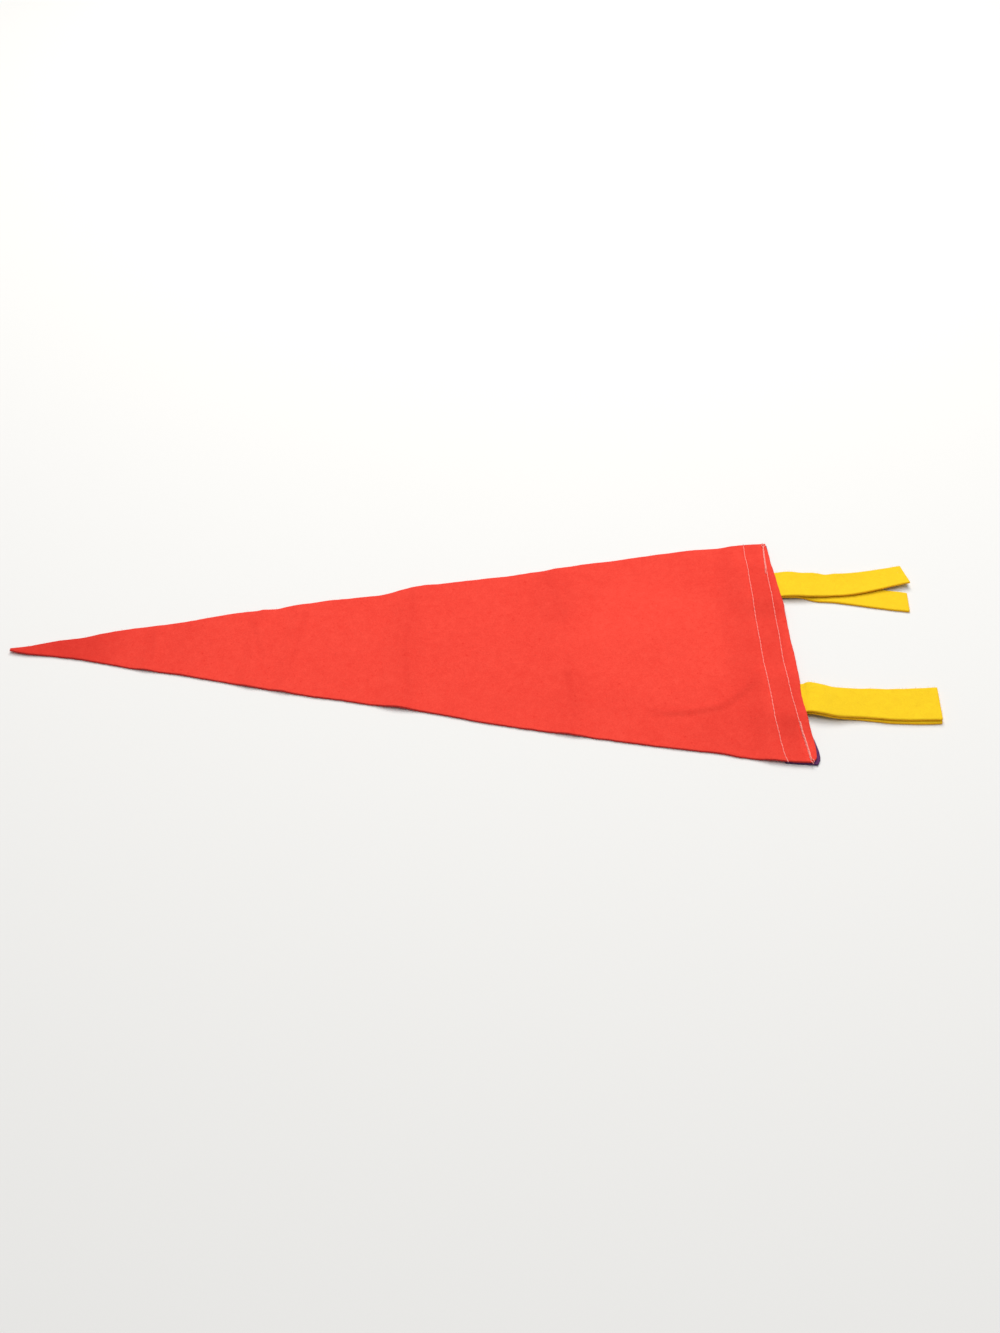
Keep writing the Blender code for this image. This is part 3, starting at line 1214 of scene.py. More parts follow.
@dataclass(frozen=True)
class FieldShape:
    """How the red field is cut and how it lies."""

    sides: tuple[Station, ...] = table(
        Station,
        (-393.5, 1.9, 3.4), (-386.0, 0.2, 4.9), (-371.0, -1.7, 9.2), (-357.0, -4.1, 11.6),
        (-347.0, -6.3, 14.8), (-333.0, -9.9, 18.0), (-319.0, -12.8, 19.9),
        (-304.0, -15.5, 23.2), (-290.0, -18.8, 26.7), (-276.0, -22.3, 29.7),
        (-269.0, -24.2, 30.3), (-260.0, -26.0, 31.5), (-252.5, -27.7, 33.9),
        (-245.0, -29.4, 34.8), (-236.0, -31.5, 37.3), (-221.0, -34.2, 39.6),
        (-206.0, -37.3, 41.7), (-197.0, -39.1, 44.4), (-187.0, -40.8, 46.8),
        (-177.0, -43.0, 49.7), (-165.0, -46.0, 51.8), (-150.0, -49.9, 54.0),
        (-136.0, -52.8, 56.0), (-125.0, -55.2, 58.6), (-116.0, -57.0, 60.1),
        (-108.0, -58.4, 62.3), (-91.0, -61.7, 65.8), (-75.0, -64.6, 68.4), (-65.0, -66.4, 70.5),
        (-49.0, -69.1, 73.5), (-36.0, -71.3, 75.9), (-27.0, -73.6, 76.8), (-18.0, -75.3, 77.3),
        (-6.0, -77.4, 78.7), (5.0, -78.2, 79.5),
    )
    wide_edge: tuple[EdgePoint, ...] = table(
        EdgePoint,
        (-78.2, 5.8), (-76.3, 7.9), (-72.0, 8.7), (-66.0, 8.8), (-58.0, 8.1), (-50.0, 7.6),
        (-41.0, 7.1), (-33.0, 7.0), (-25.0, 7.8), (-8.0, 8.5), (6.0, 8.3), (18.0, 8.4),
        (27.0, 8.5), (35.0, 8.0), (43.0, 7.4), (53.0, 7.0), (63.0, 6.5), (71.0, 6.8),
        (79.5, 6.1),
    )
    creases: tuple[Crease, ...] = table(
        Crease,
        (-322.0, -320.0, 0.7, 0.5, 8.0),
        (-269.0, -266.0, 0.5, 0.6, 8.0),
        (-251.0, -246.0, 0.6, 0.8, 8.0),
        (-194.0, -187.0, 1.2, 1.6, 14.0),
        (-109.0, -112.0, 0.8, 0.6, 12.0),
    )
    swells: tuple[Swell, ...] = table(
        Swell,
        (-396.0, 2.0, 26.0, 20.0, 0.9),
        (-66.0, 12.0, 38.0, 44.0, 1.3),
    )
    fine_creases: tuple[FineCrease, ...] = table(
        FineCrease,
        (
            ((-67.0, -44.5), (-48.6, -43.7), (-33.4, -40.5), (-22.4, -31.9), (-12.5, -22.0)),
            0.55, 3.6, -0.05,
        ),
        (((-107.6, -17.0), (-107.1, -29.5), (-105.6, -46.0)), -0.4, 2.6, -0.04),
        (((-116.0, 54.0), (-112.0, 38.0), (-108.0, 20.0)), -0.2, 3.5, -0.03),
        (((-243.8, 28.0), (-246.2, 8.0), (-247.1, -3.3), (-252.8, -24.0)), -0.3, 2.0, -0.035),
        (((-272.0, 22.0), (-264.0, -4.0), (-265.5, -22.0)), -0.2, 2.4, -0.025),
        (
            ((-187.4, 44.0), (-188.6, 21.7), (-191.4, -0.4), (-187.9, -28.5), (-187.0, -40.0)),
            -0.3, 2.4, -0.03,
        ),
        (((-321.6, 13.0), (-320.1, -9.0)), -0.2, 2.0, -0.03),
    )
    # Painted light and shade: darker towards the tip, a lighter pool near the wide end, and darker
    # bands over creases, along the heading, at its near corner and over the ties' roots.
    painted_shading_patches: tuple[PaintedShadingPatch, ...] = table(
        PaintedShadingPatch,
        (-402.0, 2.0, 75.0, 60.0, -0.14),
        (-340.0, 4.0, 60.0, 60.0, -0.035),
        (-62.0, 8.0, 52.0, 52.0, 0.04),
        (-188.0, 4.0, 9.0, 60.0, -0.02),
        (-113.0, 40.0, 16.0, 26.0, -0.03),
        (-107.0, -30.0, 9.0, 30.0, -0.02),
        (-18.0, 6.0, 11.0, 90.0, -0.04),
        (-1.5, 4.0, 9.0, 110.0, -0.06),
        (-24.0, -60.0, 34.0, 22.0, -0.04),
        (7.0, 40.0, 7.0, 22.0, -0.03),
        (7.0, -38.0, 7.0, 26.0, -0.03),
    )
    unevenness: tuple[Hills, ...] = table(Hills, (0.10, 19.0, 11), (0.07, 8.0, 12), (0.05, 3.7, 13))
    crease_fade: float = 0.15  # share of a fine crease's length over which each end dies out
    crease_painted_shading_reach: float = 1.4  # how far a fine crease's painted shade reaches, in its half widths
    patch_core: float = 0.55  # share of a painted light or shade patch's size that it fills evenly
    seams: tuple[SeamLine, ...] = (INNER_SEAM, OUTER_SEAM)
    # painted shade along each line of stitching
    seam_painted_shade: float = 0.02
    seam_painted_shade_half: float = 1.6
    seam_start: float = -26.0
    heading_inner: float = -9.5
    heading_rise: float = 10.5
    clear: float = 2.0
    tie_ys: tuple[float, ...] = (45.6, -37.4)
    tie_reach: float = -1.9
    tie_flat_half: float = 10.8
    tie_rise: float = 17.0

    def near(self, x: np.ndarray) -> np.ndarray:
        """The near side's y at a place along the field."""
        return column_at(self.sides, "x", "near", x)

    def far(self, x: np.ndarray) -> np.ndarray:
        """The far side's y at a place along the field."""
        return column_at(self.sides, "x", "far", x)

    def wide(self, y: np.ndarray) -> np.ndarray:
        """The wide edge's x at a place across the field."""
        return column_at(self.wide_edge, "y", "x", y)

    def crease_lift(self, x: np.ndarray, y: np.ndarray) -> np.ndarray:
        """The tallest ridge.

        Args:
            x: places along the field.
            y: places across it.

        Returns:
            The ridge's rise at each place.
        """
        tallest = np.zeros(np.shape(x))
        for crease in self.creases:
            middle = (crease.near_x + crease.far_x) / 2
            near, far = float(self.near(middle)), float(self.far(middle))
            share = np.clip((y - near) / (far - near), 0.0, 1.0)
            line = crease.near_x + share * (crease.far_x - crease.near_x)
            lift = crease.near_lift + share * (crease.far_lift - crease.near_lift)
            tallest = np.maximum(tallest, lift * bump(x - line, crease.half_width))
        return tallest

    def swell_lift(self, x: np.ndarray, y: np.ndarray) -> np.ndarray:
        """The swells, one on another where they meet.

        Args:
            x: places along the field.
            y: places across it.

        Returns:
            Their rise at each place.
        """
        total = np.zeros(np.shape(x))
        for swell in self.swells:
            away = np.hypot((x - swell.x) / swell.half_x, (y - swell.y) / swell.half_y)
            total += swell.lift * bump(away, 1.0)
        return total

    def under(self, x: np.ndarray, y: np.ndarray) -> np.ndarray:
        """The lower face: on the floor, over the heading, and over the ties.

        Args:
            x: places along the field.
            y: places across it.

        Returns:
            The face's height at each place.
        """
        onto = self.heading_inner - self.clear
        height = (FELT + SEWN_GAP) * smooth_step(x, onto - self.heading_rise, onto)
        onto_tie = self.tie_reach - self.clear
        along = smooth_step(x, onto_tie - self.tie_rise, onto_tie)
        for tie_y in self.tie_ys:
            edge = self.tie_flat_half
            beside = smooth_step(np.abs(y - tie_y), edge, edge + self.tie_rise)
            height += 2 * SEWN_LAYER * along * (1.0 - beside)
        free = 1.0 - smooth_step(x, self.seam_start - self.heading_rise, self.seam_start)
        return height + free * np.maximum(self.crease_lift(x, y), self.swell_lift(x, y))

    def relief(self, x: np.ndarray, y: np.ndarray) -> np.ndarray:
        """How far the upper face stands off an even thickness.

        Args:
            x: places along the field.
            y: places across it.

        Returns:
            The rise at each place, or the dent where it is negative.
        """
        height = sum(hills.at(x, y) for hills in self.unevenness)
        fade = self.crease_fade
        for crease in self.fine_creases:
            away, along = path_distance(x, y, crease.path)
            ends = smooth_step(along, 0.0, fade) * (1.0 - smooth_step(along, 1.0 - fade, 1.0))
            height += crease.lift * bump(away, crease.half_width) * ends
        for seam in self.seams:
            height -= seam.dent(x, y)
        return height

    def top(self, x: np.ndarray, y: np.ndarray) -> np.ndarray:
        """Height of the upper face."""
        return self.under(x, y) + FELT + self.relief(x, y)

    def wear(self, x: np.ndarray, y: np.ndarray) -> np.ndarray:
        """Painted light and shade: how much lighter or darker the felt is painted, from patches,
        fine creases and seams.

        Args:
            x: places along the field.
            y: places across it.

        Returns:
            The change at each place, as a share.
        """
        total = np.zeros(np.shape(x))
        # patches of painted light and shade
        for patch in self.painted_shading_patches:
            away = np.hypot((x - patch.x) / patch.half_x, (y - patch.y) / patch.half_y)
            total += patch.wear * (1.0 - smooth_step(away, self.patch_core, 1.0))
        # painted shade along the fine creases
        for crease in self.fine_creases:
            away, _ = path_distance(x, y, crease.path)
            total += crease.wear * bump(away, self.crease_painted_shading_reach * crease.half_width)
        for seam in self.seams:
            # painted shade along the stitching
            total -= self.seam_painted_shade * bump(x - seam.x_at(y), self.seam_painted_shade_half)
        return total


# ---------------------------------------------------------------- sub-assemblies


@dataclass
class RedField:
    """The red triangle, the pennant's one large sheet."""

    finish: FeltFinish
    shape: FieldShape = FieldShape()
    name: str = "red_field"
    wobble: tuple[Hills, ...] = (Hills(0.14, 6.0, 21), Hills(0.09, 2.3, 22))
    outline_pitch: float = 1.25
    top_pitch: float = 1.35
    under_pitch: float = 2.8
    margin_share: float = 0.55  # these shares are of the pitch between the points of a face
    row_share: float = 0.88
    stagger: float = 0.25
    overrun: float = 0.3
    seam_clear: float = 0.45
    seam_offsets: tuple[float, ...] = (-1.9, -1.3, -0.85, -0.42, 0.0, 0.42, 0.85, 1.3, 1.9)
    seam_step: float = 0.45
    flat: tuple[float, float] = (157.9, 402.6)
    flat_area: float = 33900.0

    def outline(self) -> np.ndarray:
        """The cut edge in plan.

        Returns:
            Its points, counter-clockwise.
        """
        shape = self.shape
        xs = steps(shape.sides[0].x, shape.sides[-1].x, self.outline_pitch)
        ys = steps(shape.wide_edge[0].y, shape.wide_edge[-1].y, self.outline_pitch)
        near = np.column_stack([xs, shape.near(xs)])
        wide = np.column_stack([shape.wide(ys), ys])
        far = np.column_stack([xs[::-1], shape.far(xs[::-1])])
        return hand_cut(np.concatenate([near[:-1], wide, far[1:]]), self.wobble)

    def margin(self, pitch: float) -> float:
        """How far a face's points keep from its outline."""
        return CUT_EDGE[0].inset + self.margin_share * pitch

    def free_points(self, pitch: float, beside_seams: bool) -> np.ndarray:
        """Staggered points inside the outline.

        Args:
            pitch: how far apart they lie.
            beside_seams: whether they keep clear of the stitching.

        Returns:
            Their places in plan.
        """
        shape, margin = self.shape, self.margin(pitch)
        spare = self.overrun * pitch
        clear = self.seam_offsets[-1] + self.seam_clear * pitch
        end = max(point.x for point in shape.wide_edge)
        points = []
        for row, x in enumerate(steps(shape.sides[0].x + margin, end, self.row_share * pitch)):
            low, high = float(shape.near(x)) + margin, float(shape.far(x)) - margin
            if high <= low:
                continue
            shift = self.stagger * pitch
            ys = steps(low, high, pitch) + (shift if row % 2 else -shift)
            keep = (ys > low - spare) & (ys < high + spare) & (x < shape.wide(ys) - margin)
            if beside_seams:
                for seam in shape.seams:
                    keep &= np.abs(x - seam.x_at(ys)) > clear
            points.append(np.column_stack([np.full(keep.sum(), x), ys[keep]]))
        return np.concatenate(points)

    def seam_points(self) -> np.ndarray:
        """Close rows of points along the stitching, for its dents.

        Returns:
            Their places in plan.
        """
        shape, margin = self.shape, self.margin(self.top_pitch)
        start, end = shape.near(0.0) + margin, shape.far(0.0) - margin
        points = []
        for seam in shape.seams:
            for number, offset in enumerate(self.seam_offsets):
                ys = steps(start, end, self.seam_step) + (number % 2) * self.seam_step / 2
                ys = ys[ys < end]
                xs = seam.x_at(ys) + offset
                keep = xs < shape.wide(ys) - margin
                keep &= (ys > shape.near(xs) + margin) & (ys < shape.far(xs) - margin)
                points.append(np.column_stack([xs[keep], ys[keep]]))
        return np.concatenate(points)

    def build(self) -> bpy.types.Object:
        """Builds and dresses the sheet.

        Returns:
            The sheet's object.
        """
        top = np.concatenate([self.free_points(self.top_pitch, True), self.seam_points()])
        under = self.free_points(self.under_pitch, False)
        parts = felt_slab(self.outline(), self.shape.top, self.shape.under, top, under)
        mesh = parts.mesh(self.name, self.shape.wear)
        return add_object(self.name, mesh, self.finish.material())


@dataclass
class HeadingStrip:
    """The dark strip under the wide edge."""

    finish: FeltFinish
    name: str = "plum_heading"
    rows: tuple[HeadingRow, ...] = table(
        HeadingRow,
        (-78.0, -6.8, 8.4, -1.4), (-75.0, -7.7, 10.0, -1.0),
        (-70.5, -8.4, 10.3, 0.0), (-66.0, -8.8, 9.7, 0.0),
        (-60.0, -9.2, 8.8, 0.0), (-50.0, -9.5, 7.2, 0.0),
        (-40.0, -9.5, 6.6, 0.0), (-5.0, -9.3, 7.6, 0.0),
        (25.0, -8.9, 7.4, 0.0), (45.0, -8.6, 6.2, 0.0),
        (60.0, -8.3, 6.3, 0.0), (72.0, -8.1, 7.1, 0.0),
        (79.1, -8.0, 7.0, 0.0),
    )
    seams: tuple[SeamLine, ...] = (INNER_SEAM, OUTER_SEAM)
    wobble: tuple[Hills, ...] = (Hills(0.12, 5.0, 31),)
    pitch: float = 1.3
    margin_share: float = 0.5
    row_pitch: float = 0.5
    column_pitch: float = 0.62
    stagger: float = 0.15
    top_every: int = 3  # the upper face, which is level, has one point in this many
    flat: tuple[float, float] = (16.8, 157.7)

    def column(self, name: str, y: np.ndarray) -> np.ndarray:
        """One column of the strip's table at each place across the pennant."""
        return column_at(self.rows, "y", name, y)

    def outline(self) -> np.ndarray:
        """The cut edge in plan.

        Returns:
            Its points, counter-clockwise.
        """
        ys = steps(self.rows[0].y, self.rows[-1].y, self.pitch)
        turn = self.column("skew", ys) / 2
        right = np.column_stack([self.column("outer", ys), ys + turn])
        left = np.column_stack([self.column("inner", ys), ys - turn])
        ends = []
        for start, end in ((left[0], right[0]), (right[-1], left[-1])):
            shares = steps(0.0, 1.0, self.pitch / np.linalg.norm(end - start))[1:-1, None]
            ends.append(start + (end - start) * shares)
        return hand_cut(np.concatenate([right, ends[1], left[::-1], ends[0]]), self.wobble)

    def under(self, x: np.ndarray, y: np.ndarray) -> np.ndarray:
        """Height of the lower face, drawn in along the stitching."""
        return sum(seam.dent(x, y) for seam in self.seams)

    def top(self, x: np.ndarray, y: np.ndarray) -> np.ndarray:
        """Height of the upper face, which is level."""
        return np.full(np.shape(x), FELT)

    def inner(self) -> np.ndarray:
        """Staggered points inside the outline.

        Returns:
            Their places in plan.
        """
        margin = CUT_EDGE[0].inset + self.margin_share * self.pitch
        start, end = self.rows[0].y + margin, self.rows[-1].y - margin
        points = []
        for row, y in enumerate(steps(start, end, self.row_pitch)):
            inner = float(self.column("inner", y)) + margin
            outer = float(self.column("outer", y)) - margin
            shift = self.stagger if row % 2 else -self.stagger
            xs = steps(inner, outer, self.column_pitch) + shift
            shares = (xs - inner) / (outer - inner) - 0.5
            points.append(np.column_stack([xs, y + shares * float(self.column("skew", y))]))
        return np.concatenate(points)

    def build(self) -> bpy.types.Object:
        """Builds and dresses the strip.

        Returns:
            The strip's object.
        """
        inner = self.inner()
        some = inner[:: self.top_every]
        parts = felt_slab(self.outline(), self.top, self.under, some, inner)
        return add_object(self.name, parts.mesh(self.name, no_painted_shading), self.finish.material())


@dataclass
class FoldedTie:
    """A yellow felt strip folded in half, its fold sewn in under the field."""

    finish: FeltFinish
    name: str
    y: float
    upper: tuple[TailRow, ...]
    lower: tuple[TailRow, ...]
    upper_wave: tuple[EdgeWave, ...]
    lower_wave: tuple[EdgeWave, ...]
    seed: int
    fold_x: float = -1.0
    pitch: float = 0.9
    spans: int = 26
    fold_steps: int = 10
    pressed_to: float = 8.5
    full_from: float = 12.5
    edge_hills: Hills = Hills(0.13, 4.5, 0)
    edges_apart: float = 50.0  # keeps the two edges' wobbles unlike
    edge_power: int = 6  # how fast an edge's wobble dies out towards the middle
    face_hills: tuple[Hills, ...] = (Hills(0.05, 2.6, 1), Hills(0.06, 6.5, 2))
    wave_power: float = 2.2  # how late an edge turns up on the way out from the middle
    face_inset: float = 0.42
    face_from: float = 0.9  # share of the half thickness from which a point lies on a face
    # in these two tables the last column is how much of a cut edge a ring is, painted in shade
    end_steps: tuple[EndStep, ...] = table(
        EndStep,
        (0.0, 0.5, 0.965, 1.0), (0.12, 0.86, 0.988, 0.8), (0.42, 1.0, 1.0, 0.0),
    )
    side: tuple[RimStep, ...] = table(
        RimStep,
        (0.08, 0.62, 0.8), (0.0, 0.0, 1.0), (0.08, -0.62, 1.0),
    )

    @property
    def flat(self) -> tuple[float, float]:
        """The strip's size before it was folded.

        Returns:
            Its mean width and its whole length.
        """
        rows = self.upper + self.lower
        width = 2 * sum(row.half_width for row in rows) / len(rows)
        return width, self.upper[-1].run + self.lower[-1].run + math.pi * SEWN_LAYER / 2

    def tail(self, rows: tuple[TailRow, ...], waves: tuple[EdgeWave, ...]) -> list[Section]:
        """A tail's cross-sections, from the fold outwards.

        Args:
            rows: the tail's table.
            waves: how its long edges stand up.

        Returns:
            The cross-sections, a pitch apart.
        """
        runs = steps(rows[0].run, rows[-1].run, self.pitch)
        read = {name: column_at(rows, "run", name, runs) for name in TailRow._fields[1:]}
        far, near = (column_at(waves, "run", name, runs) for name in ("far", "near"))
        full = smooth_step(runs, self.pressed_to, self.full_from)
        thickness = PRESSED + (FELT - PRESSED) * full
        swing, tilt = np.radians(read["swing"]), np.radians(read["tilt"])
        turn = swing + np.radians(read["skew"])
        level = np.cos(tilt)
        across = np.column_stack([-np.sin(turn) * level, np.cos(turn) * level, -np.sin(tilt)])
        strides = np.diff(runs, prepend=runs[0])
        x = self.fold_x + np.cumsum(strides * np.cos(swing))
        y = self.y + np.cumsum(strides * np.sin(swing))
        centres = np.column_stack([x, y, np.maximum(read["lift"], thickness / 2)])
        return list(map(Section, centres, across, read["half_width"], thickness, far, near))

    def fold(self) -> list[Section]:
        """The bend, without its two ends.

        Returns:
            Its cross-sections, from the lower tail up.
        """
        half_width, radius = self.upper[0].half_width, SEWN_LAYER / 2
        across = np.array([0.0, 1.0, 0.0])
        sections = []
        for step in range(1, self.fold_steps):
            angle = math.pi * (step / self.fold_steps - 0.5)
            x = self.fold_x - radius * math.cos(angle)
            z = (LOWER_SEWN + UPPER_SEWN) / 2 + radius * math.sin(angle)
            centre = np.array([x, self.y, z])
            sections.append(Section(centre, across, half_width, PRESSED, 0.0, 0.0))
        return sections

    def profile(self) -> tuple[np.ndarray, np.ndarray, np.ndarray, np.ndarray]:
        """A cross-section's loop.

        Returns:
            For each point its share of the half width, its inset, its share of the half
            thickness, and how much of a cut edge it is, which is painted in shade.
        """
        shares = np.linspace(1.0, -1.0, self.spans + 1)
        loop = [(share, self.face_inset, 1.0, 0.0) for share in shares]
        loop += [(-1.0, step.inset, step.depth, step.cut) for step in self.side]
        loop += [(-share, self.face_inset, -1.0, 0.0) for share in shares]
        loop += [(1.0, step.inset, -step.depth, step.cut) for step in self.side]
        return tuple(np.array(loop).T)

    def ring(self, section: Section, step: EndStep, along: np.ndarray, run: float) -> np.ndarray:
        """A cross-section's loop of points in place.

        Args:
            section: the cross-section.
            step: how much thinner and narrower it is there.
            along: the strip's direction there.
            run: the place along the whole strip, for its small unevenness.

        Returns:
            One point for each of the profile's.
        """
        share, inset, height, _ = self.profile()
        side, edge = np.sign(share), np.abs(share)
        runs = np.full(len(share), run)
        out = np.cross(along, section.across)
        out /= np.linalg.norm(out)
        u = share * (section.half_width - inset) * step.wide
        wobble = self.edge_hills.at(runs, self.edges_apart * side, self.seed)
        u += wobble * side * edge**self.edge_power
        soft = sum(hills.at(runs, u, self.seed) for hills in self.face_hills)
        v = height * section.thickness / 2 * step.thick
        v += soft * np.sign(height) * (np.abs(height) > self.face_from)
        points = section.centre + section.across * u[:, None] + out * v[:, None]
        lift = np.where(share > 0, section.far_lift, section.near_lift)
        points[:, 2] += lift * edge**self.wave_power
        points[:, 2] = np.maximum(points[:, 2], 0.0)
        return points

    def build(self) -> bpy.types.Object:
        """Builds and dresses the tie.

        Returns:
            The tie's object.
        """
        sections = self.tail(self.lower, self.lower_wave)[::-1]
        sections += self.fold() + self.tail(self.upper, self.upper_wave)
        centres = np.array([section.centre for section in sections])
        along, runs = directions(centres), runs_along(centres)
        last = len(sections) - 1
        whole = self.end_steps[-1]._replace(inset=0.0)
        order = [(0, step, step.inset) for step in self.end_steps]
        order += [(index, whole, 0.0) for index in range(1, last)]
        order += [(last, step, -step.inset) for step in reversed(self.end_steps)]
        side_shaded_cut = self.profile()[3]
        rings, shaded_cuts = [], []
        for index, step, slide in order:
            ring = self.ring(sections[index], step, along[index], runs[index])
            rings.append(ring + along[index] * slide)
            shaded_cuts.append(np.maximum(side_shaded_cut, step.cut))
        count = len(side_shaded_cut)
        faces = bands(len(rings), count, flip=True)
        faces += [tuple(reversed(face)) for face in self.cap(0)]
        faces += self.cap((len(rings) - 1) * count)
        parts = MeshParts()
        parts.add(np.concatenate(rings), faces, np.concatenate(shaded_cuts))
        return add_object(self.name, parts.mesh(self.name, no_painted_shading), self.finish.material())

    def cap(self, base: int) -> list[tuple[int, ...]]:
        """The faces that close an end.

        Args:
            base: the index of the first point of the cross-section there.

        Returns:
            Each face as a loop of indices.
        """
        row, corners = self.spans + 1, len(self.side)
        loop = list(range(base, base + 2 * (row + corners)))
        top, near = loop[:row], loop[row : row + corners]
        low, far = loop[row + corners : -corners], loop[-corners:]
        under = low[::-1]
        faces = [(top[k], top[k + 1], under[k + 1], under[k]) for k in range(self.spans)]
        return [*faces, (top[-1], *near, low[0]), (low[-1], *far, top[0])]


@dataclass
class SeamThread:
    """The thread of one or more stitching lines, on one face of the pennant."""

    name: str
    lines: tuple[SeamLine, ...]
    face: Face
    shape: FieldShape
    tree: bpy.types.NodeTree
    material: bpy.types.Material
    radius: float
    over_hole: float  # height of the thread's middle over the felt at a needle hole
    arch: float = 0.25
    twist: float = 1.6  # turns in a stitch
    sway: float = 0.07  # most that a stitch is turned off its line, in radians
    under_height: float = 0.49  # height of the thread's middle on the underside

    def path(self) -> bpy.types.Mesh:
        """The lines' needle holes.

        Returns:
            A mesh of points, each joined by an edge to the next of its line.
        """
        points, edges = [], []
        for line in self.lines:
            holes = line.holes()
            heights = np.full(len(holes), self.under_height)
            if self.face is Face.SHOWING:
                heights = self.shape.top(*holes.T) + self.over_hole
            first = len(points)
            points += np.column_stack([holes, heights]).tolist()
            edges += [(first + i, first + i + 1) for i in range(len(holes) - 1)]
        mesh = bpy.data.meshes.new(self.name + "_path")
        mesh.from_pydata((np.array(points) * MM).tolist(), edges, [])
        return mesh

    def build(self) -> bpy.types.Object:
        """Grows the stitches along the lines.

        Returns:
            The thread's object.
        """
        values = {
            "Stitch Length": self.lines[0].pitch * MM,
            "Thread Radius": self.radius * MM,
            "Arch": self.face.value * self.arch * MM,
            "Twist": self.twist,
            "Sway": self.sway,
            "Seed": self.lines[0].seed,
            "Thread": self.material,
        }
        return grow(self.name, self.path(), self.tree, values)


@dataclass
class LooseEnds:
    """The short thread ends left where the two rows of stitching start and stop."""

    shape: FieldShape
    material: bpy.types.Material
    name: str = "loose_thread_ends"
    radius: float = 0.19
    ply_radius: float = 0.55  # as a share of the thread's radius
    turns_per_mm: float = 0.42
    taper: tuple[float, float] = (-0.4, 0.5)  # from a thread's tip, where it widens
    upward: Place = (0.13, 0.21, 0.97)  # nearly upright: no thread end runs along it
    pitch: float = 0.12
    edge_clear: float = 0.6
    ends: tuple[tuple[ThreadPoint, ...], ...] = (
        table(
            ThreadPoint,
            (4.9, 76.8, 0.1), (4.4, 77.9, 0.5), (3.7, 77.6, 0.7), (3.8, 76.7, 0.5),
            (4.6, 76.3, 0.5), (5.1, 77.0, 0.9), (4.5, 78.2, 1.0), (3.9, 78.9, 0.5),
        ),
        table(
            ThreadPoint,
            (2.5, 55.9, 0.1), (2.2, 54.7, 0.4), (2.2, 53.3, 0.3), (2.5, 52.3, 0.35),
        ),
        table(ThreadPoint, (-6.2, 77.0, 0.1), (-6.0, 78.0, 0.4), (-6.4, 78.8, 0.35)),
        table(
            ThreadPoint,
            (5.0, -77.4, 0.1), (5.3, -78.2, 0.35), (5.7, -78.8, 0.0), (6.1, -79.1, -0.6),
        ),
        table(
            ThreadPoint,
            (5.6, -76.6, 0.1), (6.1, -77.3, 0.4), (6.3, -78.0, 0.2), (6.2, -78.5, -0.1),
        ),
        table(ThreadPoint, (-6.1, -76.6, 0.1), (-6.0, -77.5, 0.3), (-5.9, -78.1, 0.0)),
    )

    def path(self, end: tuple[ThreadPoint, ...]) -> np.ndarray:
        """The middle line of one thread end.

        Args:
            end: its table.

        Returns:
            The line's points, a pitch apart, as high as they lie over the field.
        """
        given = np.array(end)
        runs = runs_along(given)
        x, y, rise = (
            smooth_curve(runs, column, steps(0.0, runs[-1], self.pitch)) for column in given.T
        )
        near, far = self.shape.near(x) + self.edge_clear, self.shape.far(x) - self.edge_clear
        return np.column_stack([x, y, self.shape.top(x, np.clip(y, near, far)) + rise])

    def twist(self, parts: MeshParts, path: np.ndarray) -> None:
        """Adds a thread of twisted plies along a path.

        Args:
            parts: the mesh it joins.
            path: its middle line's points.
        """
        along, run = directions(path), runs_along(path)
        level = unit(np.cross(along, self.upward))
        upright = np.cross(level, along)
        taper = smooth_step(np.minimum(run, run[-1] - run), *self.taper)
        radius = (self.ply_radius * self.radius * taper)[:, None]
        for ply in range(PLIES):
            turn = 2 * math.pi * (self.turns_per_mm * run[:, None] + ply / PLIES)
            off = np.cos(turn) * level + np.sin(turn) * upright
            middle = path + PLY_OFFSET * self.radius * off
            sides = []
            for side in range(PLY_SIDES):
                angle = 2 * math.pi * side / PLY_SIDES
                out = math.cos(angle) * level + math.sin(angle) * upright
                sides.append(middle + radius * out)
            points = np.stack(sides, axis=1).reshape(-1, 3)
            start, end = range(PLY_SIDES), range(len(points) - PLY_SIDES, len(points))
            faces = [*bands(len(path), PLY_SIDES), tuple(start), tuple(reversed(end))]
            parts.add(points, faces)

    def build(self) -> bpy.types.Object:
        """Twists each end along its own curve.

        Returns:
            The ends' object.
        """
        parts = MeshParts()
        for end in self.ends:
            self.twist(parts, self.path(end))
        return add_object(self.name, parts.mesh(self.name), self.material)


@dataclass
class Nap:
    """The short fibres that stand on a piece of felt, most of them on its cut edges."""

    on: bpy.types.Object
    tree: bpy.types.NodeTree
    seed: int
    length: float = 1.3
    radius: float = 0.018
    per_square_metre: float = 5.0e6
    lean: tuple[float, float] = (0.2, 1.15)  # least and most, in radians
    curl: float = 0.35

    def build(self) -> bpy.types.Object:
        """Grows the fibres.

        Returns:
            The nap's object, in the felt's own material.
        """
        values = {
            "Fibre Length": self.length * MM,
            "Fibre Radius": self.radius * MM,
            "Fibres per Square Metre": self.per_square_metre,
            "Least Lean": self.lean[0],
            "Most Lean": self.lean[1],
            "Curl": self.curl * MM,
            "Seed": self.seed,
            "Fibre": self.on.data.materials[0],
        }
        return grow(self.on.name + "_nap", self.on.data.copy(), self.tree, values)


# ---------------------------------------------------------------- the studio


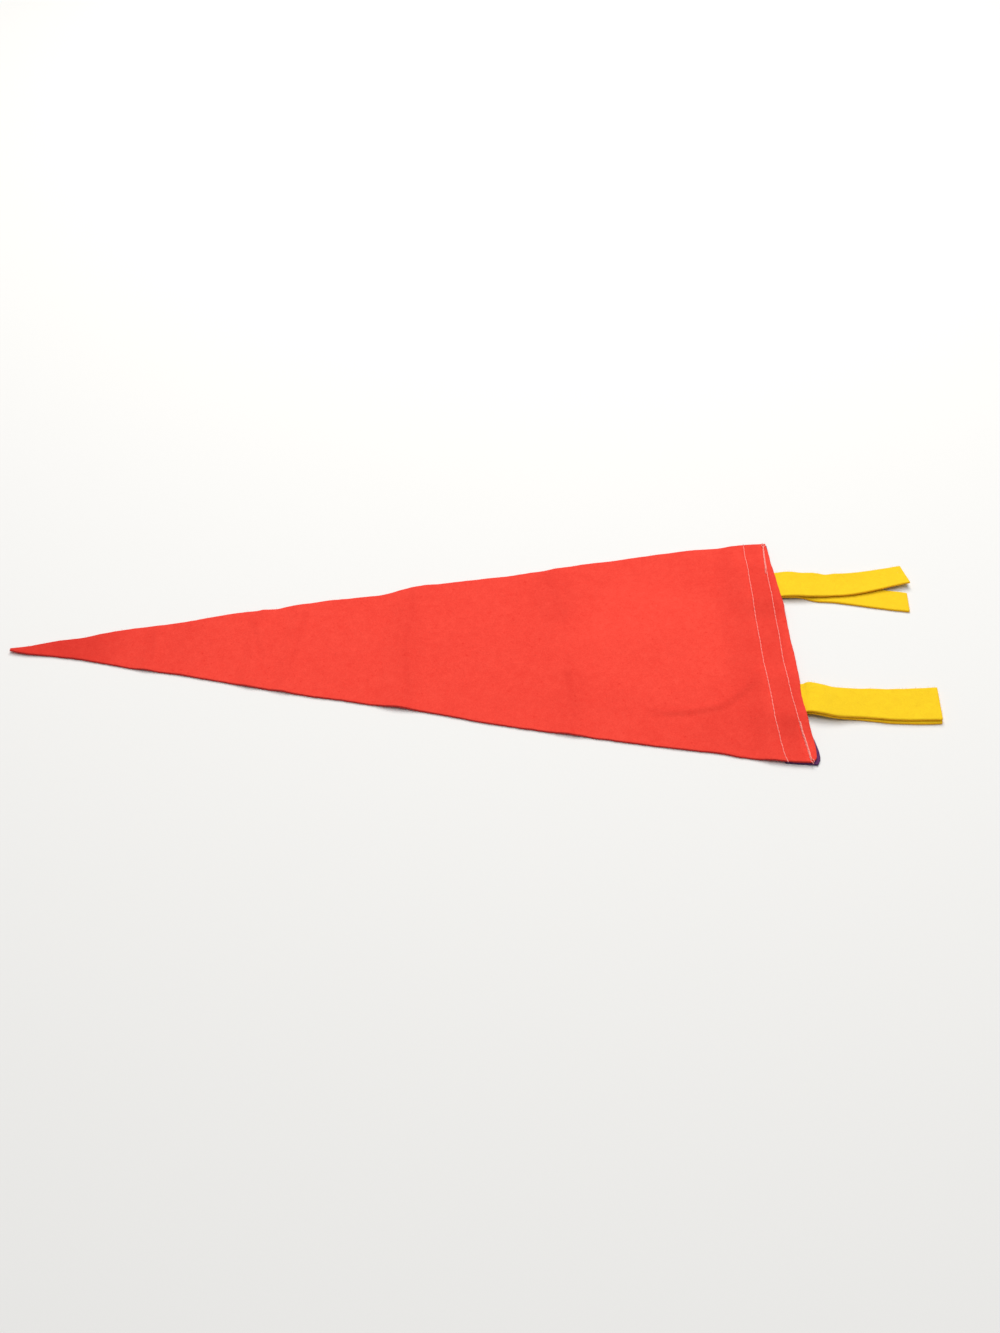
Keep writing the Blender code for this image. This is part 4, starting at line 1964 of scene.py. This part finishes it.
@dataclass
class Studio:
    """Plain pale floor, soft light from the far side, and the camera."""

    look_at: Place = (-142.05, -12.3, 1.3)
    distance: float = 700.6
    down: float = 46.0
    yaw: float = 0.72
    lens: float = 37.27
    sensor: float = 36.0
    clip_start: float = 0.01
    floor_half: float = 4000.0
    floor_drop: float = 0.05
    softboxes: tuple[Softbox, ...] = table(
        Softbox,
        ("far_softbox", (-0.1, 1.05, 1.35), 1.0, 23.0, (1.0, 0.985, 0.96)),
        ("overhead_softbox", (0.05, -0.1, 1.8), 1.5, 17.0, (1.0, 1.0, 1.0)),
    )
    air: Colour = (0.95, 0.97, 1.0)
    air_strength: float = 0.22

    def floor(self) -> None:
        """A level plane just under the pennant."""
        half = self.floor_half
        corners = [(-half, -half), (half, -half), (half, half), (-half, half)]
        parts = MeshParts()
        parts.add(np.array([(*corner, -self.floor_drop) for corner in corners]), [(0, 1, 2, 3)])
        add_object("floor", parts.mesh("floor"), FloorFinish().material())

    def aim(self, name: str, data: bpy.types.ID, place: Vector, back: Vector) -> bpy.types.Object:
        """Stands a light or a camera.

        Args:
            name: the object's name.
            data: the light or the camera.
            place: where it stands, in metres.
            back: the direction away from what it faces.

        Returns:
            The object.
        """
        made = bpy.data.objects.new(name, data)
        made.location = place
        made.rotation_euler = back.to_track_quat("Z", "Y").to_euler()
        bpy.context.scene.collection.objects.link(made)
        return made

    def light(self, box: Softbox) -> None:
        """A soft light that faces the pennant's middle.

        Args:
            box: its row in the table.
        """
        data = bpy.data.lights.new(box.name, "AREA")
        data.shape = "SQUARE"
        data.size = box.size
        data.energy = box.power
        data.color = box.colour
        place = Vector(box.place)
        self.aim(box.name, data, place, place - Vector(self.look_at) * MM)

    def camera(self) -> None:
        """The camera, level across, tilted down at the pennant."""
        down, yaw = math.radians(self.down), math.radians(self.yaw)
        level = math.cos(down)
        forward = Vector((math.sin(yaw) * level, math.cos(yaw) * level, -math.sin(down)))
        data = bpy.data.cameras.new("camera")
        data.lens = self.lens
        data.sensor_width = self.sensor
        data.clip_start = self.clip_start
        place = (Vector(self.look_at) - forward * self.distance) * MM
        bpy.context.scene.camera = self.aim("camera", data, place, -forward)

    def build(self) -> None:
        """Sets up the floor, the lights, the camera and the plain colour rendering."""
        self.floor()
        for box in self.softboxes:
            self.light(box)
        world = bpy.data.worlds.new("studio_air")
        world.use_nodes = True
        air = world.node_tree.nodes["Background"]
        air.inputs["Color"].default_value = rgba(self.air)
        air.inputs["Strength"].default_value = self.air_strength
        bpy.context.scene.world = world
        bpy.context.scene.view_settings.view_transform = "Standard"
        self.camera()


# ---------------------------------------------------------------- the whole pennant

RED = FeltFinish(
    "red_felt",
    lit=(0.875, 0.067, 0.042),
    shade=(0.735, 0.0305, 0.0175),
    # cut edges: painted shade
    cut=(0.56, 0.024, 0.022),
    # painted shade darkens green and blue faster than red
    painted_shading_depth=(1.0, 2.2, 2.2),
    seed=1.0,
    sheen_tint=(1.0, 0.35, 0.28),
)
PLUM = FeltFinish(
    "plum_felt",
    lit=(0.13, 0.036, 0.135),
    shade=(0.065, 0.017, 0.07),
    # cut edges: painted shade
    cut=(0.075, 0.019, 0.085),
    painted_shading_depth=(1.0, 1.0, 1.0),
    seed=12.0,
    sheen_tint=(0.5, 0.4, 0.7),
)
YELLOW = FeltFinish(
    "yellow_felt",
    lit=(0.91, 0.62, 0.012),
    shade=(0.82, 0.50, 0.008),
    # cut edges: painted shade, more orange with painted bounce light
    cut=(0.96, 0.48, 0.006),
    painted_shading_depth=(1.0, 1.0, 1.0),
    seed=23.0,
    sheen_tint=(1.0, 0.85, 0.4),
)
PINK = ThreadFinish("pink_thread", lit=(1.0, 0.38, 0.32), shade=(0.98, 0.27, 0.23))
FIRST_NAP_SEED = 11


def tie_far() -> FoldedTie:
    """The narrower tie, nearer the far side: its tails spread, and its upper tail tilts."""
    return FoldedTie(
        YELLOW,
        "yellow_tie_far",
        45.6,
        upper=table(
            TailRow,
            (0.0, 0.0, 0.0, 0.0, UPPER_SEWN, 9.3),
            (8.5, 0.0, 0.0, 0.0, UPPER_SEWN, 9.3),
            (12.0, -0.5, 0.0, 0.0, 3.1, 9.3),
            (17.0, -1.5, 0.0, 0.0, 3.2, 9.2),
            (24.0, -2.5, 0.0, 0.0, 2.8, 9.0),
            (31.0, -1.0, 0.0, 0.5, 2.4, 8.6),
            (38.0, 3.0, 0.0, 1.0, 2.2, 8.5),
            (46.0, 6.7, 0.0, 1.0, 2.15, 8.3),
            (54.0, 10.5, 0.0, 1.5, 2.15, 8.0),
            (62.0, 14.5, 0.0, 2.5, 2.2, 7.7),
            (70.0, 13.5, -1.0, 4.0, 2.3, 7.4),
            (79.8, 11.0, -1.5, 5.0, 2.5, 7.3),
        ),
        lower=table(
            TailRow,
            (0.0, 0.0, 0.0, 0.0, LOWER_SEWN, 9.3),
            (9.0, 0.0, 0.0, 0.0, LOWER_SEWN, 9.3),
            (17.0, -1.0, 0.0, 0.0, 1.5, 9.0),
            (21.0, -7.0, 0.0, 0.0, 1.05, 8.6),
            (25.5, -25.0, 0.0, 0.0, 0.7, 8.1),
            (29.5, -22.0, 0.0, 0.0, 0.6, 7.9),
            (33.0, -5.0, 0.0, 0.0, 0.6, 7.9),
            (38.0, -6.0, 0.0, 0.0, 0.6, 7.9),
            (45.0, -11.0, 0.0, 0.0, 0.6, 7.9),
            (55.0, -14.5, 0.0, 0.0, 0.6, 7.8),
            (65.0, -12.5, 0.0, 0.0, 0.6, 7.5),
            (78.4, -10.0, 4.2, 0.0, 0.6, 7.3),
        ),
        upper_wave=table(
            EdgeWave,
            (0.0, 0.0, 0.0), (10.0, 0.0, 0.0), (15.5, 0.4, 0.0), (22.0, 0.1, 0.1),
            (28.5, 0.8, 0.0), (32.0, 0.7, -0.1), (35.5, 0.1, 0.0), (41.5, 0.5, 0.0),
            (60.0, 0.3, 0.1), (79.8, 0.2, 0.0),
        ),
        lower_wave=table(EdgeWave, (0.0, 0.0, 0.0), (78.4, 0.0, 0.0)),
        seed=61,
    )


def tie_near() -> FoldedTie:
    """The wider tie, nearer the near side: it humps at its root, and its tails lie stacked."""
    return FoldedTie(
        YELLOW,
        "yellow_tie_near",
        -36.9,
        upper=table(
            TailRow,
            (0.0, 0.0, 0.0, 0.0, UPPER_SEWN, 9.7),
            (8.5, -7.5, 0.0, 0.0, 2.85, 9.7),
            (12.0, -12.0, 0.0, 0.0, 4.1, 9.7),
            (15.5, -13.0, 0.0, 0.0, 4.5, 9.8),
            (19.0, -11.0, 0.0, 0.0, 4.3, 9.8),
            (24.0, -4.0, 0.0, 0.0, 3.4, 9.8),
            (30.0, -0.6, 0.0, 0.0, 2.6, 9.7),
            (38.0, -2.4, 0.0, 0.0, 2.15, 9.7),
            (46.0, -5.0, 0.0, 0.0, 2.1, 10.0),
            (54.0, -2.5, 0.0, 0.0, 2.1, 10.3),
            (62.0, 1.0, 0.0, 0.0, 2.1, 10.5),
            (76.3, 1.5, -7.1, 0.0, 2.1, 10.8),
        ),
        lower=table(
            TailRow,
            (0.0, 0.0, 0.0, 0.0, LOWER_SEWN, 9.7),
            (8.5, -7.5, 0.0, 0.0, 1.8, 9.7),
            (12.0, -12.0, 0.0, 0.0, 2.5, 9.7),
            (15.5, -13.0, 0.0, 0.0, 2.95, 9.8),
            (19.0, -11.0, 0.0, 0.0, 2.75, 9.8),
            (24.0, -5.0, 0.0, 0.0, 1.95, 9.8),
            (30.0, -1.8, 0.0, 0.0, 1.15, 9.7),
            (38.0, -3.8, 0.0, 0.0, 0.65, 9.8),
            (46.0, -6.4, 0.0, 0.0, 0.6, 10.2),
            (54.0, -3.4, 0.0, 0.0, 0.6, 10.6),
            (62.0, 0.5, 0.0, 0.0, 0.6, 10.8),
            (76.5, 1.0, -7.6, 0.0, 0.6, 11.0),
        ),
        upper_wave=table(
            EdgeWave,
            (0.0, 0.0, 0.0), (8.8, 0.0, 0.0), (10.2, 1.0, 0.0), (12.5, 0.5, 0.0),
            (15.5, -0.1, 0.0), (20.0, -0.3, 0.0), (27.0, -0.1, 0.0), (35.0, 0.0, 0.0),
            (76.3, 0.0, 0.0),
        ),
        lower_wave=table(EdgeWave, (0.0, 0.0, 0.0), (76.5, 0.0, 0.0)),
        seed=71,
    )


def register(piece: bpy.types.Object, slot: Slot, node: Optional[str] = None) -> bpy.types.Object:
    """Rides a piece on the pennant's one body and logs its size.

    Args:
        piece: the finished piece.
        slot: its material slot; not used.
        node: the CAD node that it stands for, which is hidden, or None.

    Returns:
        The same piece.
    """
    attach(piece, "root")
    if node:
        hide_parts(node)
    piece.data.calc_loop_triangles()
    LOG.info("%s: %d triangles", piece.name, len(piece.data.loop_triangles))
    return piece


def main() -> None:
    """Builds the studio and the pennant's pieces, in order, and registers each."""
    logging.basicConfig(level=logging.INFO, format="%(name)s: %(message)s")
    Studio().build()
    field, heading, folded = RedField(RED), HeadingStrip(PLUM), (tie_far(), tie_near())
    red = register(field.build(), Slot.RED_FELT, "field")
    plum = register(heading.build(), Slot.PLUM_FELT, "heading")
    ties = [
        register(tie.build(), Slot.YELLOW_FELT, node)
        for tie, node in zip(folded, ("tie_far", "tie_near"))
    ]

    stitches, thread = stitch_tree(), PINK.material()
    for name, lines, face, radius, over_hole in (
        ("inner_seam_thread", (INNER_SEAM,), Face.SHOWING, 0.18, 0.27),
        ("outer_seam_thread", (OUTER_SEAM,), Face.SHOWING, 0.18, 0.27),
        ("backtack_thread", (FAR_BACKTACK, NEAR_BACKTACK), Face.SHOWING, 0.36, 0.5),
        ("under_seam_thread", (INNER_SEAM, OUTER_SEAM), Face.UNDERNEATH, 0.18, 0.0),
    ):
        made = SeamThread(name, lines, face, field.shape, stitches, thread, radius, over_hole)
        register(made.build(), Slot.PINK_THREAD)
    loose = register(LooseEnds(field.shape, thread).build(), Slot.PINK_THREAD)

    fibres, yellow = nap_tree(), Slot.YELLOW_FELT
    felts = zip((red, plum, *ties), (Slot.RED_FELT, Slot.PLUM_FELT, yellow, yellow))
    naps = [
        register(Nap(felt, fibres, seed).build(), slot)
        for seed, (felt, slot) in enumerate(felts, start=FIRST_NAP_SEED)
    ]

    for tie, made, nap in zip(folded, ties, naps[2:]):
        width, length = tie.flat


if __name__ == "__main__":
    main()
